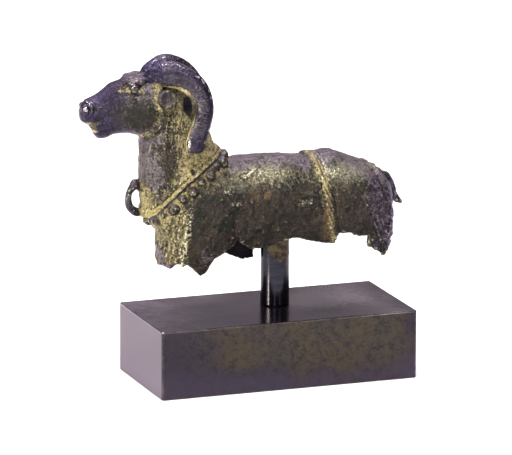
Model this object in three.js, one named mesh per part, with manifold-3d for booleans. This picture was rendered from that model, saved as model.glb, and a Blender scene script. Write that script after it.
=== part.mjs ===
// Bronze ram: a hollow casting with its legs lost and an open, broken underside, carried by a
// round post on a rectangular bronze plinth. Millimetres, +Z up. The ram faces -X, and the origin
// is the centre of the plinth's underside.
import * as THREE from 'three';
import { mergeVertices } from 'three/addons/utils/BufferGeometryUtils.js';
import Module from 'manifold-3d';

// Driving dimensions
const PLINTH_LENGTH = 100;
const PLINTH_WIDTH = 48.6;
const PLINTH_HEIGHT = 25.8;
const PLINTH_BEVEL = 0.5;
const MID_Y = 3;            // the ram's middle plane lies this far behind the plinth's middle
const POST_X = 3.8;
const POST_TOP_RADIUS = 5.2;
const POST_FOOT_RADIUS = 5.45;
const WALL = 1.9;           // wall of the hollow casting
const CLEARANCE = 0.3;      // gap kept between the post and what it meets
const BACK_HEIGHT = 83;     // height of the back over the plinth's underside
const GIRTH_HEIGHT = 66;    // height at which the body is widest
const HOLLOW_FRONT = -36.5; // the hollow reaches from here
const HOLLOW_REAR = 46.2;   // to here

// Lines of the body along X: each pair is a place and the value there.
const BACK_LINE = [[-41.6, 54], [-41.2, 58], [-40.2, 63], [-37.2, 71], [-31, 79], [-24, 82.6],
  [-15, BACK_HEIGHT], [5, BACK_HEIGHT], [13, 82], [19, 82.4], [24, 83.2], [31, 81], [38, 78.2],
  [43, 75.4], [46.2, 71.5], [48.2, 65]];
const BELLY_LINE = [[-41.6, 51], [-41.2, 46], [-40.2, 40], [-37.6, 35], [-30, 33], [-23, 36],
  [-15, 40], [12, 40.5], [24, 39], [32, 35], [41, 33], [46, 37], [48.2, 47]];
const BODY_HALF_WIDTH = [[-41.6, 2], [-41.2, 5], [-40.2, 8.2], [-37.6, 11.8], [-31, 13.8],
  [-22, 14.4], [-8, 14], [12, 13.8], [24, 14.8], [33, 15], [41, 13.6], [45.6, 10.8], [48.2, 6.5]];
const BODY_SQUARENESS = 2.3;

// Lines of the neck along Z.
const THROAT_LINE = [[54, -38], [58, -43], [62, -46.2], [68, -48.2], [76, -49], [92, -49], [100, -48.5],
  [108, -46], [113.5, -43]];
const NAPE_LINE = [[54, -15], [70, -13], [79, -14], [84, -18], [88, -20.6], [93, -22.4], [98, -25],
  [103, -28], [108, -30.4], [113.5, -35]];
const NECK_HALF_WIDTH = [[54, 12], [66, 12.2], [76, 11.8], [84, 10.6], [92, 9.4], [100, 8.8], [108, 7.8],
  [113.5, 4]];
const NECK_SQUARENESS = 2.35;

// The head, with its horns, is turned away a little to the ram's right side (+Y) about the neck.
const HEAD_TURN = THREE.MathUtils.degToRad(10.5);
const HEAD_PIVOT_X = -38;

// Lines of the head along X, before the turn.
const BROW_LINE = [[-71.2, 103.2], [-70.5, 105.3], [-68.4, 107.3], [-64.4, 109.5], [-62.2, 111.2],
  [-59.5, 113.3], [-56.5, 114.2], [-50, 116], [-43, 116.5], [-38.6, 110.5]];
const JAW_LINE = [[-71.2, 100.4], [-70.5, 99], [-68.5, 98], [-67.2, 96.8], [-65.9, 94.1], [-64, 92.5],
  [-61.8, 92.6], [-58.5, 94.1], [-54, 94.4], [-49, 93.4], [-44.5, 94], [-41, 96.4], [-38.6, 102]];
const FACE_HALF_WIDTH = [[-71.2, 2.6], [-70.5, 3.9], [-68.5, 4.9], [-64.5, 5.1], [-61, 5.8], [-57, 7],
  [-51.5, 8.3], [-46, 9.4], [-41, 9.3], [-38.6, 6.5]];
const HEAD_SQUARENESS = 2.2;

// The lower edge of the broken wall, near side and far side.
const NEAR_BREAK = [[-42, 47], [-36.5, 46.6], [-33.3, 45.5], [-31, 43], [-29, 41.2], [-27.8, 42],
  [-26.5, 43.8], [-24.4, 47.9], [-20.8, 50.3], [-17.3, 52.4], [-15.3, 54.1], [-13.3, 52.8],
  [-10.8, 51.1], [-6.4, 50.3], [-3.2, 51], [0, 51.8], [4, 53.2], [8, 53.5], [12.9, 51.8], [18.1, 50.8],
  [22.6, 50.2], [23.4, 53], [25.2, 54.2], [28.2, 54.2], [32.3, 52.7], [35.8, 52.6], [36.1, 48.2],
  [38.4, 47.1], [41.4, 45.1], [42.8, 43.5], [44, 44.5], [46, 46], [50, 49]];
const FAR_BREAK = [[-42, 44], [-39, 43.3], [-37, 41.6], [-32.6, 41.4], [-29, 43], [-22, 45.6],
  [-14, 45.4], [-10.9, 43.9], [-7.6, 42.8], [-3, 43], [-2.1, 45.4], [1, 45.6], [3, 46.5], [8, 49.5],
  [14, 50.4], [21, 49.6], [27, 51.4], [33, 50.6], [39, 49.8], [45, 48.6], [50, 49]];
const BREAK_TURNS = [-10, 4];  // across the body, the edge changes from near to far between these

// Horn: centre line from the brow over the crown and down behind the ear, as x, z and the
// distance out from the middle plane, with the horn's half breadth and half thickness there.
const HORN_LINE = [[-46.8, 113.8, 3, 2.2, 2.2], [-44.6, 115.9, 4.4, 3.2, 2.8],
  [-41.6, 116.8, 5.8, 4.3, 3.3], [-38.2, 117.1, 6.8, 4.9, 3.5], [-32.9, 115.2, 8.4, 4.6, 3.3],
  [-28.3, 110.9, 10.2, 4.1, 3.1], [-26.9, 105, 11.8, 3.8, 3], [-27.7, 99.8, 13, 3.6, 2.9],
  [-29.4, 95.2, 13.1, 3.7, 2.8], [-30.2, 91.8, 13, 3.7, 2.7], [-30.3, 88.9, 12.8, 3.1, 2.4]];
const HORN_SQUARENESS = 2.5;

// Raised forms of each side of the head, before the turn: x, distance out, z, and three radii.
const EYE = { place: [-52, 7.1, 112], radii: [3.1, 1.7, 1.7] };
const BROW_KNOB = { place: [-53, 5.6, 114.7], radii: [3, 2.4, 1.5] };
const NOSTRIL = { place: [-69.2, 3, 104.3], radii: [1.5, 1.6, 1.4] };
const EAR_PLACE = [-39.3, 10.8, 109.3];
const EAR_PROFILE = [[0, -3], [2.4, -3], [3.2, -1.2], [3.4, 0], [2.7, 0.2], [1.6, -0.7], [0, -1]];
const MOUTH_OUTLINE = [[-74, 96.8], [-74, 98.4], [-68.5, 98.1], [-62.2, 101.4], [-67, 96.9]];
const MOUTH_DEPTH = 16;

// Collar: an oval ring leaning back, with a strap and a row of pellets behind it.
const COLLAR_CENTRE = new THREE.Vector3(-33.6, MID_Y, 76);
const COLLAR_LEAN = THREE.MathUtils.degToRad(39);
const COLLAR_LENGTH = 18.3;   // half length along the lean
const COLLAR_BREADTH = 12.2;  // half breadth across
const STRAP_WIDTH = 2.5;
const STRAP_THICKNESS = 1.5;
const STRAP_BOW = 2.8;        // how far the strap bows up at the sides
const PELLET_COUNT = 12;      // large pellets, with a small one between each two
const PELLET_RADIUS = 2;
const SMALL_PELLET_RADIUS = 1.4;
const FIRST_PELLET = THREE.MathUtils.degToRad(27);
const PELLET_OFFSET = 3.7;    // pellets lie this far behind the strap
const PELLET_DROP = 1.6;      // and large ones hang this much lower on the sides
const SMALL_DROP = 0.6;
const PELLET_RISE = 0.3;      // and stand this much further out

// Girth band
const BAND_X = 16.7;          // at the top of the back
const BAND_LEAN = 0.16;       // it runs back by this much for each millimetre down
const BAND_WIDTH = 3;
const BAND_RELIEF = 0.8;
const BAND_PROFILE = [[-0.5, -0.1], [-0.4, 0.7], [-0.2, 0.9], [0.15, 0.9], [0.35, 0.4], [0.5, -0.1]];

// Bent rods in the middle plane, as x, z: the loop at the throat and the stub of the tail
const LOOP_ROUTE = [[-46, 76], [-50.2, 75.6], [-53, 73], [-53.6, 69.6], [-52.6, 66.6], [-50, 65],
  [-46, 64.6]];
const LOOP_RADII = [1.35, 1.5];
const TAIL_ROUTE = [[43, 71], [46.4, 71], [48.4, 68.6], [50, 65.2], [51.8, 62.6], [54.2, 61]];
const TAIL_RADIUS = [[0, 2.4], [0.4, 2.2], [0.7, 1.5], [1, 0.7]];

// Fineness of the facets
const AROUND_BODY = 28;
const AROUND_HOLLOW = 18;
const AROUND_NECK = 24;
const AROUND_HEAD = 20;
const AROUND_HORN = 10;
const AROUND_EAR = 12;
const AROUND_POST = 40;
const AROUND_ROD = 8;
const BODY_STEPS = 24;
const HOLLOW_STEPS = 16;
const NECK_STEPS = 14;
const HEAD_STEPS = 18;
const HORN_STEPS = 19;
const STRAP_STEPS = 32;
const LOOP_STEPS = 14;
const TAIL_STEPS = 10;

const wasm = await Module();
wasm.setup();

const headTurn = new THREE.Matrix4().makeTranslation(HEAD_PIVOT_X, MID_Y, 0)
  .multiply(new THREE.Matrix4().makeRotationZ(-HEAD_TURN))
  .multiply(new THREE.Matrix4().makeTranslation(-HEAD_PIVOT_X, -MID_Y, 0));

// A smooth curve through [place, value] pairs that never overshoots them.
function line(pairs) {
  const slope = pairs.slice(1).map(([x, y], i) => (y - pairs[i][1]) / (x - pairs[i][0]));
  const tangent = pairs.map((_, i) => {
    const before = slope[Math.max(i - 1, 0)];
    const after = slope[Math.min(i, slope.length - 1)];
    return before * after <= 0 ? 0 : (2 * before * after) / (before + after);
  });
  return (x) => {
    const place = THREE.MathUtils.clamp(x, pairs[0][0], pairs.at(-1)[0]);
    let i = 0;
    while (i < slope.length - 1 && place > pairs[i + 1][0]) i += 1;
    const width = pairs[i + 1][0] - pairs[i][0];
    const t = (place - pairs[i][0]) / width;
    const bend = (1 - t) * t * width * (tangent[i] * (1 - t) - tangent[i + 1] * t);
    return THREE.MathUtils.lerp(pairs[i][1], pairs[i + 1][1], t * t * (3 - 2 * t)) + bend;
  };
}

// Straight pieces between [place, value] pairs, for a broken edge.
function jagged(pairs) {
  return (x) => {
    const i = Math.max(1, pairs.findIndex(([place]) => place >= x));
    const [x0, y0] = pairs[i - 1];
    const [x1, y1] = pairs[i];
    return THREE.MathUtils.mapLinear(THREE.MathUtils.clamp(x, x0, x1), x0, x1, y0, y1);
  };
}

// A closed solid from rings of points, each ring with as many points, capped at both ends.
function solidFromRings(rings, closed = false) {
  const around = rings[0].length;
  const points = rings.flat();
  const faces = [];
  const ringCount = rings.length;
  for (let i = 0; i < (closed ? ringCount : ringCount - 1); i += 1) {
    for (let j = 0; j < around; j += 1) {
      const a = i * around + j;
      const b = i * around + ((j + 1) % around);
      const c = ((i + 1) % ringCount) * around + j;
      const d = ((i + 1) % ringCount) * around + ((j + 1) % around);
      faces.push(a, b, d, a, d, c);
    }
  }
  if (!closed) {
    for (const [ring, order] of [[0, -1], [ringCount - 1, 1]]) {
      const centre = rings[ring].reduce((sum, p) => sum.add(p), new THREE.Vector3());
      points.push(centre.divideScalar(around));
      for (let j = 0; j < around; j += 1) {
        const a = ring * around + j;
        const b = ring * around + ((j + 1) % around);
        faces.push(...(order > 0 ? [a, b, points.length - 1] : [b, a, points.length - 1]));
      }
    }
  }
  const solid = toSolid(points.flatMap((p) => p.toArray()), faces);
  return solid.volume() > 0 ? solid : toSolid(points.flatMap((p) => p.toArray()), faces.reverse());
}

function toSolid(coordinates, faces) {
  const vertProperties = new Float32Array(coordinates);
  const triVerts = new Uint32Array(faces);
  return new wasm.Manifold(new wasm.Mesh({ numProp: 3, vertProperties, triVerts }));
}

function fromGeometry(geometry, matrix = new THREE.Matrix4()) {
  const bare = geometry.clone().applyMatrix4(matrix);
  bare.deleteAttribute('normal');
  bare.deleteAttribute('uv');
  const merged = mergeVertices(bare, 1e-4);
  return toSolid(merged.attributes.position.array, merged.index.array);
}

// Places from first to last, closer together towards both ends.
function spread(first, last, count) {
  return Array.from({ length: count + 1 }, (_, i) => {
    const t = i / count;
    return THREE.MathUtils.lerp(first, last, 0.5 * t + 0.25 * (1 - Math.cos(Math.PI * t)));
  });
}

// One point of a rounded rectangle: 2 is an ellipse, more is squarer.
function squircle(angle, squareness) {
  const soften = (v) => Math.sign(v) * Math.abs(v) ** (2 / squareness);
  return [soften(Math.cos(angle)), soften(Math.sin(angle))];
}

function ring(count, point) {
  return Array.from({ length: count }, (_, j) => point((2 * Math.PI * j) / count));
}

const backLine = line(BACK_LINE);
const bellyLine = line(BELLY_LINE);
const bodyHalfWidth = line(BODY_HALF_WIDTH);

// One upright section of the body, grown outwards by some amount or shrunk by a negative one,
// and sheared along X by lean for each millimetre below the back.
function bodySection(x, grow = 0, lean = 0, count = AROUND_BODY) {
  const width = bodyHalfWidth(x) + grow;
  const highBack = backLine(x) - GIRTH_HEIGHT + grow > 2;
  const middle = highBack ? GIRTH_HEIGHT : (backLine(x) + bellyLine(x)) / 2;
  return ring(count, (angle) => {
    const [across, rise] = squircle(angle, BODY_SQUARENESS);
    const reach = (rise > 0 ? backLine(x) - middle : middle - bellyLine(x)) + grow;
    const z = middle + rise * reach;
    return new THREE.Vector3(x + lean * (BACK_HEIGHT - z), MID_Y + across * width, z);
  });
}

function body() {
  const places = spread(BACK_LINE[0][0], BACK_LINE.at(-1)[0], BODY_STEPS);
  return solidFromRings(places.map((x) => bodySection(x)));
}

function neck() {
  const throat = line(THROAT_LINE);
  const nape = line(NAPE_LINE);
  const halfWidth = line(NECK_HALF_WIDTH);
  const heights = spread(THROAT_LINE[0][0], THROAT_LINE.at(-1)[0], NECK_STEPS);
  return solidFromRings(heights.map((z) => ring(AROUND_NECK, (angle) => {
    const [along, across] = squircle(angle, NECK_SQUARENESS);
    const x = (throat(z) + nape(z)) / 2 + (along * (nape(z) - throat(z))) / 2;
    return new THREE.Vector3(x, MID_Y + across * halfWidth(z), z);
  })));
}

function head() {
  const brow = line(BROW_LINE);
  const jaw = line(JAW_LINE);
  const halfWidth = line(FACE_HALF_WIDTH);
  const places = spread(BROW_LINE[0][0], BROW_LINE.at(-1)[0], HEAD_STEPS);
  return solidFromRings(places.map((x) => ring(AROUND_HEAD, (angle) => {
    const [across, rise] = squircle(angle, HEAD_SQUARENESS);
    const z = (brow(x) + jaw(x)) / 2 + (rise * (brow(x) - jaw(x))) / 2;
    return new THREE.Vector3(x, MID_Y + across * halfWidth(x), z).applyMatrix4(headTurn);
  })));
}

// A tube along a curve: breadth lies in the curve's own upright plane, thickness across it.
function sweep(curve, sizes, steps, around, squareness = 2) {
  const rings = Array.from({ length: steps + 1 }, (_, i) => {
    const t = i / steps;
    const centre = curve.getPoint(t);
    const along = curve.getTangent(t);
    const broad = new THREE.Vector3().crossVectors(along, new THREE.Vector3(0, 1, 0)).normalize();
    const thick = new THREE.Vector3().crossVectors(broad, along).normalize();
    const [breadth, thickness] = sizes(t);
    return ring(around, (angle) => {
      const [a, b] = squircle(angle, squareness);
      return centre.clone().addScaledVector(broad, a * breadth).addScaledVector(thick, b * thickness);
    });
  });
  return solidFromRings(rings);
}

// A smooth curve in the ram's middle plane through places given as x, z.
function middleCurve(route) {
  return new THREE.CatmullRomCurve3(route.map(([x, z]) => new THREE.Vector3(x, MID_Y, z)));
}

function horn(side) {
  const curve = new THREE.CatmullRomCurve3(
    HORN_LINE.map(([x, z, out]) => new THREE.Vector3(x, MID_Y + side * out, z).applyMatrix4(headTurn)));
  const at = (column) => line(HORN_LINE.map((row, i) => [i / (HORN_LINE.length - 1), row[column]]));
  const breadth = at(3);
  const thickness = at(4);
  const sizes = (t) => [breadth(t), thickness(t)];
  return sweep(curve, sizes, HORN_STEPS, AROUND_HORN, HORN_SQUARENESS);
}

function headKnob({ place: [x, out, z], radii }, side) {
  const place = new THREE.Matrix4().makeTranslation(x, MID_Y + side * out, z);
  place.scale(new THREE.Vector3(...radii)).premultiply(headTurn);
  return fromGeometry(new THREE.IcosahedronGeometry(1, 1), place);
}

// A cupped round ear, open outwards.
function ear(side) {
  const profile = EAR_PROFILE.map(([radius, height]) => new THREE.Vector2(radius, height));
  const geometry = new THREE.LatheGeometry(profile, AROUND_EAR);
  const [x, out, z] = EAR_PLACE;
  const place = new THREE.Matrix4().makeTranslation(x, MID_Y + side * out, z);
  place.multiply(new THREE.Matrix4().makeRotationX(side < 0 ? Math.PI : 0)).premultiply(headTurn);
  return fromGeometry(geometry, place);
}

// A point of the collar's oval: angle 0 is the throat, and behind is the way towards the chest.
function collarPoint(angle, behind, outwards) {
  const lift = STRAP_BOW * Math.sin(angle) ** 2;
  const lengthwise = -(COLLAR_LENGTH + outwards) * Math.cos(angle);
  const offset = behind - lift;
  return new THREE.Vector3(
    COLLAR_CENTRE.x + lengthwise * Math.cos(COLLAR_LEAN) + offset * Math.sin(COLLAR_LEAN),
    COLLAR_CENTRE.y - (COLLAR_BREADTH + outwards) * Math.sin(angle),
    COLLAR_CENTRE.z + lengthwise * Math.sin(COLLAR_LEAN) - offset * Math.cos(COLLAR_LEAN));
}

function strap() {
  const corners = [[-1, -2], [-1, 0.5], [-0.6, 1], [0.6, 1], [1, 0.5], [1, -2]];
  const rings = Array.from({ length: STRAP_STEPS }, (_, i) => corners.map(([across, out]) => {
    const angle = (2 * Math.PI * i) / STRAP_STEPS;
    return collarPoint(angle, (across * STRAP_WIDTH) / 2, (out * STRAP_THICKNESS) / 2);
  }));
  return solidFromRings(rings, true);
}

function pellets() {
  return Array.from({ length: 2 * PELLET_COUNT }, (_, i) => {
    const large = i % 2 === 0;
    const angle = FIRST_PELLET + (Math.PI * i) / PELLET_COUNT;
    const drop = (large ? PELLET_DROP : SMALL_DROP) * Math.sin(angle) ** 2;
    const place = collarPoint(angle, PELLET_OFFSET + drop, large ? PELLET_RISE : 0);
    const geometry = large
      ? new THREE.IcosahedronGeometry(PELLET_RADIUS, 1)
      : new THREE.OctahedronGeometry(SMALL_PELLET_RADIUS, 1);
    return fromGeometry(geometry, new THREE.Matrix4().makeTranslation(...place.toArray()));
  });
}

// The loop at the throat: a bent rod that grows out of the neck and back into it.
function throatLoop() {
  return sweep(middleCurve(LOOP_ROUTE), () => LOOP_RADII, LOOP_STEPS, AROUND_ROD);
}

function tail() {
  const radius = line(TAIL_RADIUS);
  const sizes = (t) => [radius(t), radius(t) * 1.1];
  return sweep(middleCurve(TAIL_ROUTE), sizes, TAIL_STEPS, AROUND_ROD);
}

function girthBand() {
  return solidFromRings(BAND_PROFILE.map(([along, relief]) => bodySection(
    BAND_X + along * BAND_WIDTH, relief * BAND_RELIEF, BAND_LEAN)));
}

// The hollow of the body, open below.
function hollow() {
  const roundEnds = line([[HOLLOW_FRONT, 3.5], [HOLLOW_FRONT + 4, 0], [HOLLOW_REAR - 5, 0],
    [HOLLOW_REAR, 4]]);
  const places = spread(HOLLOW_FRONT, HOLLOW_REAR, HOLLOW_STEPS);
  return solidFromRings(places.map((x) => bodySection(x, -WALL - roundEnds(x), 0, AROUND_HOLLOW)));
}

// What has broken away below: a block whose top is the broken edge, higher on the near side.
function lostUnderside() {
  const near = jagged(NEAR_BREAK);
  const far = jagged(FAR_BREAK);
  const edgePlaces = [...NEAR_BREAK, ...FAR_BREAK].map(([x]) => x).sort((a, b) => a - b);
  const places = edgePlaces.filter((x, i) => i === 0 || x - edgePlaces[i - 1] > 0.25);
  const bands = [-20, -8, 2, 20];  // across the body
  const floor = 20;                // well below the ram
  const rings = places.map((x) => {
    const top = bands.map((y) => {
      const share = THREE.MathUtils.smoothstep(y, ...BREAK_TURNS);
      return new THREE.Vector3(x, MID_Y + y, THREE.MathUtils.lerp(near(x), far(x), share));
    });
    const bottom = [...bands].reverse().map((y) => new THREE.Vector3(x, MID_Y + y, floor));
    return [...top, ...bottom];
  });
  return solidFromRings(rings);
}

// The open mouth: a thin wedge that rises towards its corner.
function mouth() {
  const shape = new THREE.Shape(MOUTH_OUTLINE.map(([x, z]) => new THREE.Vector2(x, z)));
  const geometry = new THREE.ExtrudeGeometry(shape, { depth: MOUTH_DEPTH, bevelEnabled: false });
  const place = new THREE.Matrix4().makeTranslation(0, MID_Y + MOUTH_DEPTH / 2, 0);
  place.multiply(new THREE.Matrix4().makeRotationX(Math.PI / 2)).premultiply(headTurn);
  return fromGeometry(geometry, place);
}

function ramSolid() {
  let solid = body().add(neck()).add(head());
  for (const side of [-1, 1]) {
    const knobs = [EYE, BROW_KNOB, NOSTRIL].map((knob) => headKnob(knob, side));
    for (const detail of [horn(side), ear(side), ...knobs]) solid = solid.add(detail);
  }
  for (const detail of [strap(), ...pellets(), girthBand(), throatLoop(), tail()]) {
    solid = solid.add(detail);
  }
  return solid.subtract(hollow()).subtract(lostUnderside()).subtract(mouth());
}

function toMesh(name, solid, material) {
  const mesh = solid.getMesh();
  const geometry = new THREE.BufferGeometry();
  geometry.setAttribute('position', new THREE.BufferAttribute(mesh.vertProperties, 3));
  geometry.setIndex(new THREE.BufferAttribute(mesh.triVerts, 1));
  geometry.computeVertexNormals();
  const result = new THREE.Mesh(geometry, material);
  result.name = name;
  return result;
}

function plinth(material) {
  const shape = new THREE.Shape();
  const halfLength = PLINTH_LENGTH / 2 - PLINTH_BEVEL;
  const halfWidth = PLINTH_WIDTH / 2 - PLINTH_BEVEL;
  shape.moveTo(-halfLength, -halfWidth).lineTo(halfLength, -halfWidth);
  shape.lineTo(halfLength, halfWidth).lineTo(-halfLength, halfWidth);
  const geometry = new THREE.ExtrudeGeometry(shape, {
    depth: PLINTH_HEIGHT - 2 * PLINTH_BEVEL, bevelSize: PLINTH_BEVEL,
    bevelThickness: PLINTH_BEVEL, bevelSegments: 1 });
  const result = new THREE.Mesh(geometry, material);
  result.position.z = PLINTH_BEVEL;
  result.name = 'plinth';
  return result;
}

// The post runs up inside the hollow until its rim meets the inner side of the back.
function post(material) {
  const innerWidth = bodyHalfWidth(POST_X) - WALL;
  const innerRise = backLine(POST_X) - GIRTH_HEIGHT - WALL;
  const share = (1 - (POST_TOP_RADIUS / innerWidth) ** BODY_SQUARENESS) ** (1 / BODY_SQUARENESS);
  const facetSag = innerRise * (1 - Math.cos(Math.PI / AROUND_HOLLOW));
  const top = GIRTH_HEIGHT + innerRise * share - facetSag - CLEARANCE;
  const height = top - PLINTH_HEIGHT;
  const geometry = new THREE.CylinderGeometry(POST_TOP_RADIUS, POST_FOOT_RADIUS, height, AROUND_POST);
  const result = new THREE.Mesh(geometry, material);
  result.rotation.x = Math.PI / 2;
  result.position.set(POST_X, MID_Y, PLINTH_HEIGHT + height / 2);
  result.name = 'post';
  return result;
}

const bronze = new THREE.MeshStandardMaterial({ color: 0x4a4233, roughness: 0.5, metalness: 0.8 });
const darkBronze = new THREE.MeshStandardMaterial({ color: 0x3c3434, roughness: 0.25, metalness: 0.9 });
const postBronze = new THREE.MeshStandardMaterial({ color: 0x2c2528, roughness: 0.2, metalness: 0.9 });

const figure = new THREE.Group();
figure.add(plinth(darkBronze), post(postBronze), toMesh('ram', ramSolid(), bronze));

export default figure;
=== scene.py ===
"""Bronze ram on its post and plinth.

The ram is built from lofted and swept numpy surfaces, fused by a voxel remesh, hollowed and broken
by boolean cuts, and then given its relief by moving vertices. Sizes are in millimetres until a mesh
is written, and each point is (x, y, z) with the ram facing -X.
"""
import itertools
import math
import bpy
import numpy as np
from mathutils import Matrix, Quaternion, Vector


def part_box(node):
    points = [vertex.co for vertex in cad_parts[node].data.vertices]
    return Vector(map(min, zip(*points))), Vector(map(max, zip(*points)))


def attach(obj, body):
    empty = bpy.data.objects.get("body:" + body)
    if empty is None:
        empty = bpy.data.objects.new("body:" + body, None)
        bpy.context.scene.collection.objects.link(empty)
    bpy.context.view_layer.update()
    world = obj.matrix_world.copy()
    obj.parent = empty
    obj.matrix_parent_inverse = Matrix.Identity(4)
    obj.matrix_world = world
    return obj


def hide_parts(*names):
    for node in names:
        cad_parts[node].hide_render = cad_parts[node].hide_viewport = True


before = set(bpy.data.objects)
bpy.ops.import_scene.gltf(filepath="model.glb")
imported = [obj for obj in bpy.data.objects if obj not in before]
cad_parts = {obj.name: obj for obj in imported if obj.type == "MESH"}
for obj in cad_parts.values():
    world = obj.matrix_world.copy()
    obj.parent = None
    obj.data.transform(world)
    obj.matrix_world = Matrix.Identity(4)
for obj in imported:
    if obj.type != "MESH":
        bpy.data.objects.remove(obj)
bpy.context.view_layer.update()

MM = 0.001

# Camera, fitted to the plinth's corners, and the strength of the light all round
VIEW_AZIMUTH = -20.2252
VIEW_ELEVATION = 13.4643
VIEW_ROLL = 0.2298
VIEW_DISTANCE = 2000.0
VIEW_TARGET = (-4.8161, 0.0, 56.1874)
VIEW_LENS = 380.6
EVEN_LIGHT = 0.34

# The plinth and post
PLINTH_LENGTH = 100.0
PLINTH_WIDTH = 48.6
PLINTH_HEIGHT = 25.8
EDGE_RADIUS = 0.45

# Driving sizes of the post and the ram, as in the solids. The slack keeps the visible post within
# its solid's box.
MID_Y = 3.0
POST_X = 3.8
POST_TOP_RADIUS = 5.2
POST_FOOT_RADIUS = 5.45
POST_SLACK = 0.02
WALL = 1.9
BACK_HEIGHT = 83.0
GIRTH_HEIGHT = 66.0
HOLLOW_FRONT = -36.5
HOLLOW_REAR = 46.2
HEAD_TURN = math.radians(10.5)
HEAD_PIVOT_X = -38.0

BACK_LINE = [(-41.6, 54), (-41.2, 58), (-40.2, 63), (-37.2, 71), (-31, 79), (-24, 82.6),
             (-15, BACK_HEIGHT), (5, BACK_HEIGHT), (13, 82), (19, 82.4), (24, 83.2), (31, 81),
             (38, 78.2), (43, 75.4), (46.2, 71.5), (48.2, 65)]
BELLY_LINE = [(-41.6, 51), (-41.2, 46), (-40.2, 40), (-37.6, 35), (-30, 33), (-23, 36), (-15, 40),
              (12, 40.5), (24, 39), (32, 35), (41, 33), (46, 37), (48.2, 47)]
BODY_HALF_WIDTH = [(-41.6, 2), (-41.2, 5), (-40.2, 8.2), (-37.6, 11.8), (-31, 13.8), (-22, 14.4),
                   (-8, 14), (12, 13.8), (24, 14.8), (33, 15), (41, 13.6), (45.6, 10.8),
                   (48.2, 6.5)]
BODY_SQUARENESS = 2.3

THROAT_LINE = [(54, -38), (58, -43), (62, -46.2), (68, -48.2), (76, -49), (92, -49), (100, -48.5),
               (108, -46), (113.5, -43)]
NAPE_LINE = [(54, -15), (70, -13), (79, -14), (84, -18), (88, -20.6), (93, -22.4), (98, -25),
             (103, -28), (108, -30.4), (113.5, -35)]
NECK_HALF_WIDTH = [(54, 12), (66, 12.2), (76, 11.8), (84, 10.6), (92, 9.4), (100, 8.8), (108, 7.8),
                   (113.5, 4)]
NECK_SQUARENESS = 2.35

BROW_LINE = [(-71.2, 103.2), (-70.5, 105.3), (-68.4, 107.3), (-64.4, 109.5), (-62.2, 111.2),
             (-59.5, 113.3), (-56.5, 114.2), (-50, 116), (-43, 116.5), (-38.6, 110.5)]
JAW_LINE = [(-71.2, 100.4), (-70.5, 99), (-68.5, 98), (-67.2, 96.8), (-65.9, 94.1), (-64, 92.5),
            (-61.8, 92.6), (-58.5, 94.1), (-54, 94.4), (-49, 93.4), (-44.5, 94), (-41, 96.4),
            (-38.6, 102)]
FACE_HALF_WIDTH = [(-71.2, 2.6), (-70.5, 3.9), (-68.5, 4.9), (-64.5, 5.1), (-61, 5.8), (-57, 7),
                   (-51.5, 8.3), (-46, 9.4), (-41, 9.3), (-38.6, 6.5)]
HEAD_SQUARENESS = 2.2

NEAR_BREAK = [(-42, 47), (-36.5, 46.6), (-33.3, 45.5), (-31, 43), (-29, 41.2), (-27.8, 42),
              (-26.5, 43.8), (-24.4, 47.9), (-20.8, 50.3), (-17.3, 52.4), (-15.3, 54.1),
              (-13.3, 52.8), (-10.8, 51.1), (-6.4, 50.3), (-3.2, 51), (0, 51.8), (4, 53.2),
              (8, 53.5), (12.9, 51.8), (18.1, 50.8), (22.6, 50.2), (23.4, 53), (25.2, 54.2),
              (28.2, 54.2), (32.3, 52.7), (35.8, 52.6), (36.1, 48.2), (38.4, 47.1), (41.4, 45.1),
              (42.8, 43.5), (44, 44.5), (46, 46), (50, 49)]
FAR_BREAK = [(-42, 44), (-39, 43.3), (-37, 41.6), (-32.6, 41.4), (-29, 43), (-22, 45.6),
             (-14, 45.4), (-10.9, 43.9), (-7.6, 42.8), (-3, 43), (-2.1, 45.4), (1, 45.6),
             (3, 46.5), (8, 49.5), (14, 50.4), (21, 49.6), (27, 51.4), (33, 50.6), (39, 49.8),
             (45, 48.6), (50, 49)]

# Horn: x, z, distance out, half breadth, half thickness
HORN_LINE = [(-46.8, 113.8, 3, 2.2, 2.2), (-44.6, 115.9, 4.4, 3.2, 2.8), (-41.6, 116.8, 5.8, 4.3, 3.3),
             (-38.2, 117.1, 6.8, 4.9, 3.5), (-32.9, 115.2, 8.4, 4.6, 3.3),
             (-28.3, 110.9, 10.2, 4.1, 3.1), (-26.9, 105, 11.8, 3.8, 3), (-27.7, 99.8, 13, 3.6, 2.9),
             (-29.4, 95.2, 13.1, 3.7, 2.8), (-30.2, 91.8, 13, 3.7, 2.7), (-30.3, 88.9, 12.8, 3.1, 2.4)]

# The horn's section: where its crease lies, as a share of the half breadth towards the outside of
# the curl, the crease's width and depth, how much the bevel beyond it thins the horn, and the share
# of the horn's length at which its end begins to round off
HORN_SQUARENESS = 2.7
HORN_CREASE = 0.6
CREASE_WIDTH = 0.07
CREASE_DEPTH = 0.26
HORN_BEVEL = 0.35
HORN_END = 0.965
HORN_STEPS = 130

# Eye: its two corners and its ball, in the head's own plane before the turn, and the rise and
# radius of the upper and the lower lid
EYE_FRONT = -55.2
EYE_REAR = -48.0
EYE_LEVEL = 111.4
EYE_BALL_X = -51.7
EYELIDS = [(2.2, 0.5), (-1.0, 0.4)]
NOSTRIL_X = -69.2
NOSTRIL_Z = 104.3
EAR_CENTRE = (-39.9, 10.8, 108.6)
EAR_PROFILE = [(0.05, -3), (2.6, -3), (3.1, -1.6), (3.4, -0.4), (3.3, 0.1), (2.9, 0.35),
               (2.5, 0.15), (2.1, -0.3), (1.4, -0.6), (0.7, -0.65), (0.05, -0.65)]
MOUTH_OUTLINE = [(-74, 96.8), (-74, 98.4), (-68.5, 98.1), (-62.2, 101.4), (-67, 96.9)]
MOUTH_DEPTH = 1.7

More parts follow.
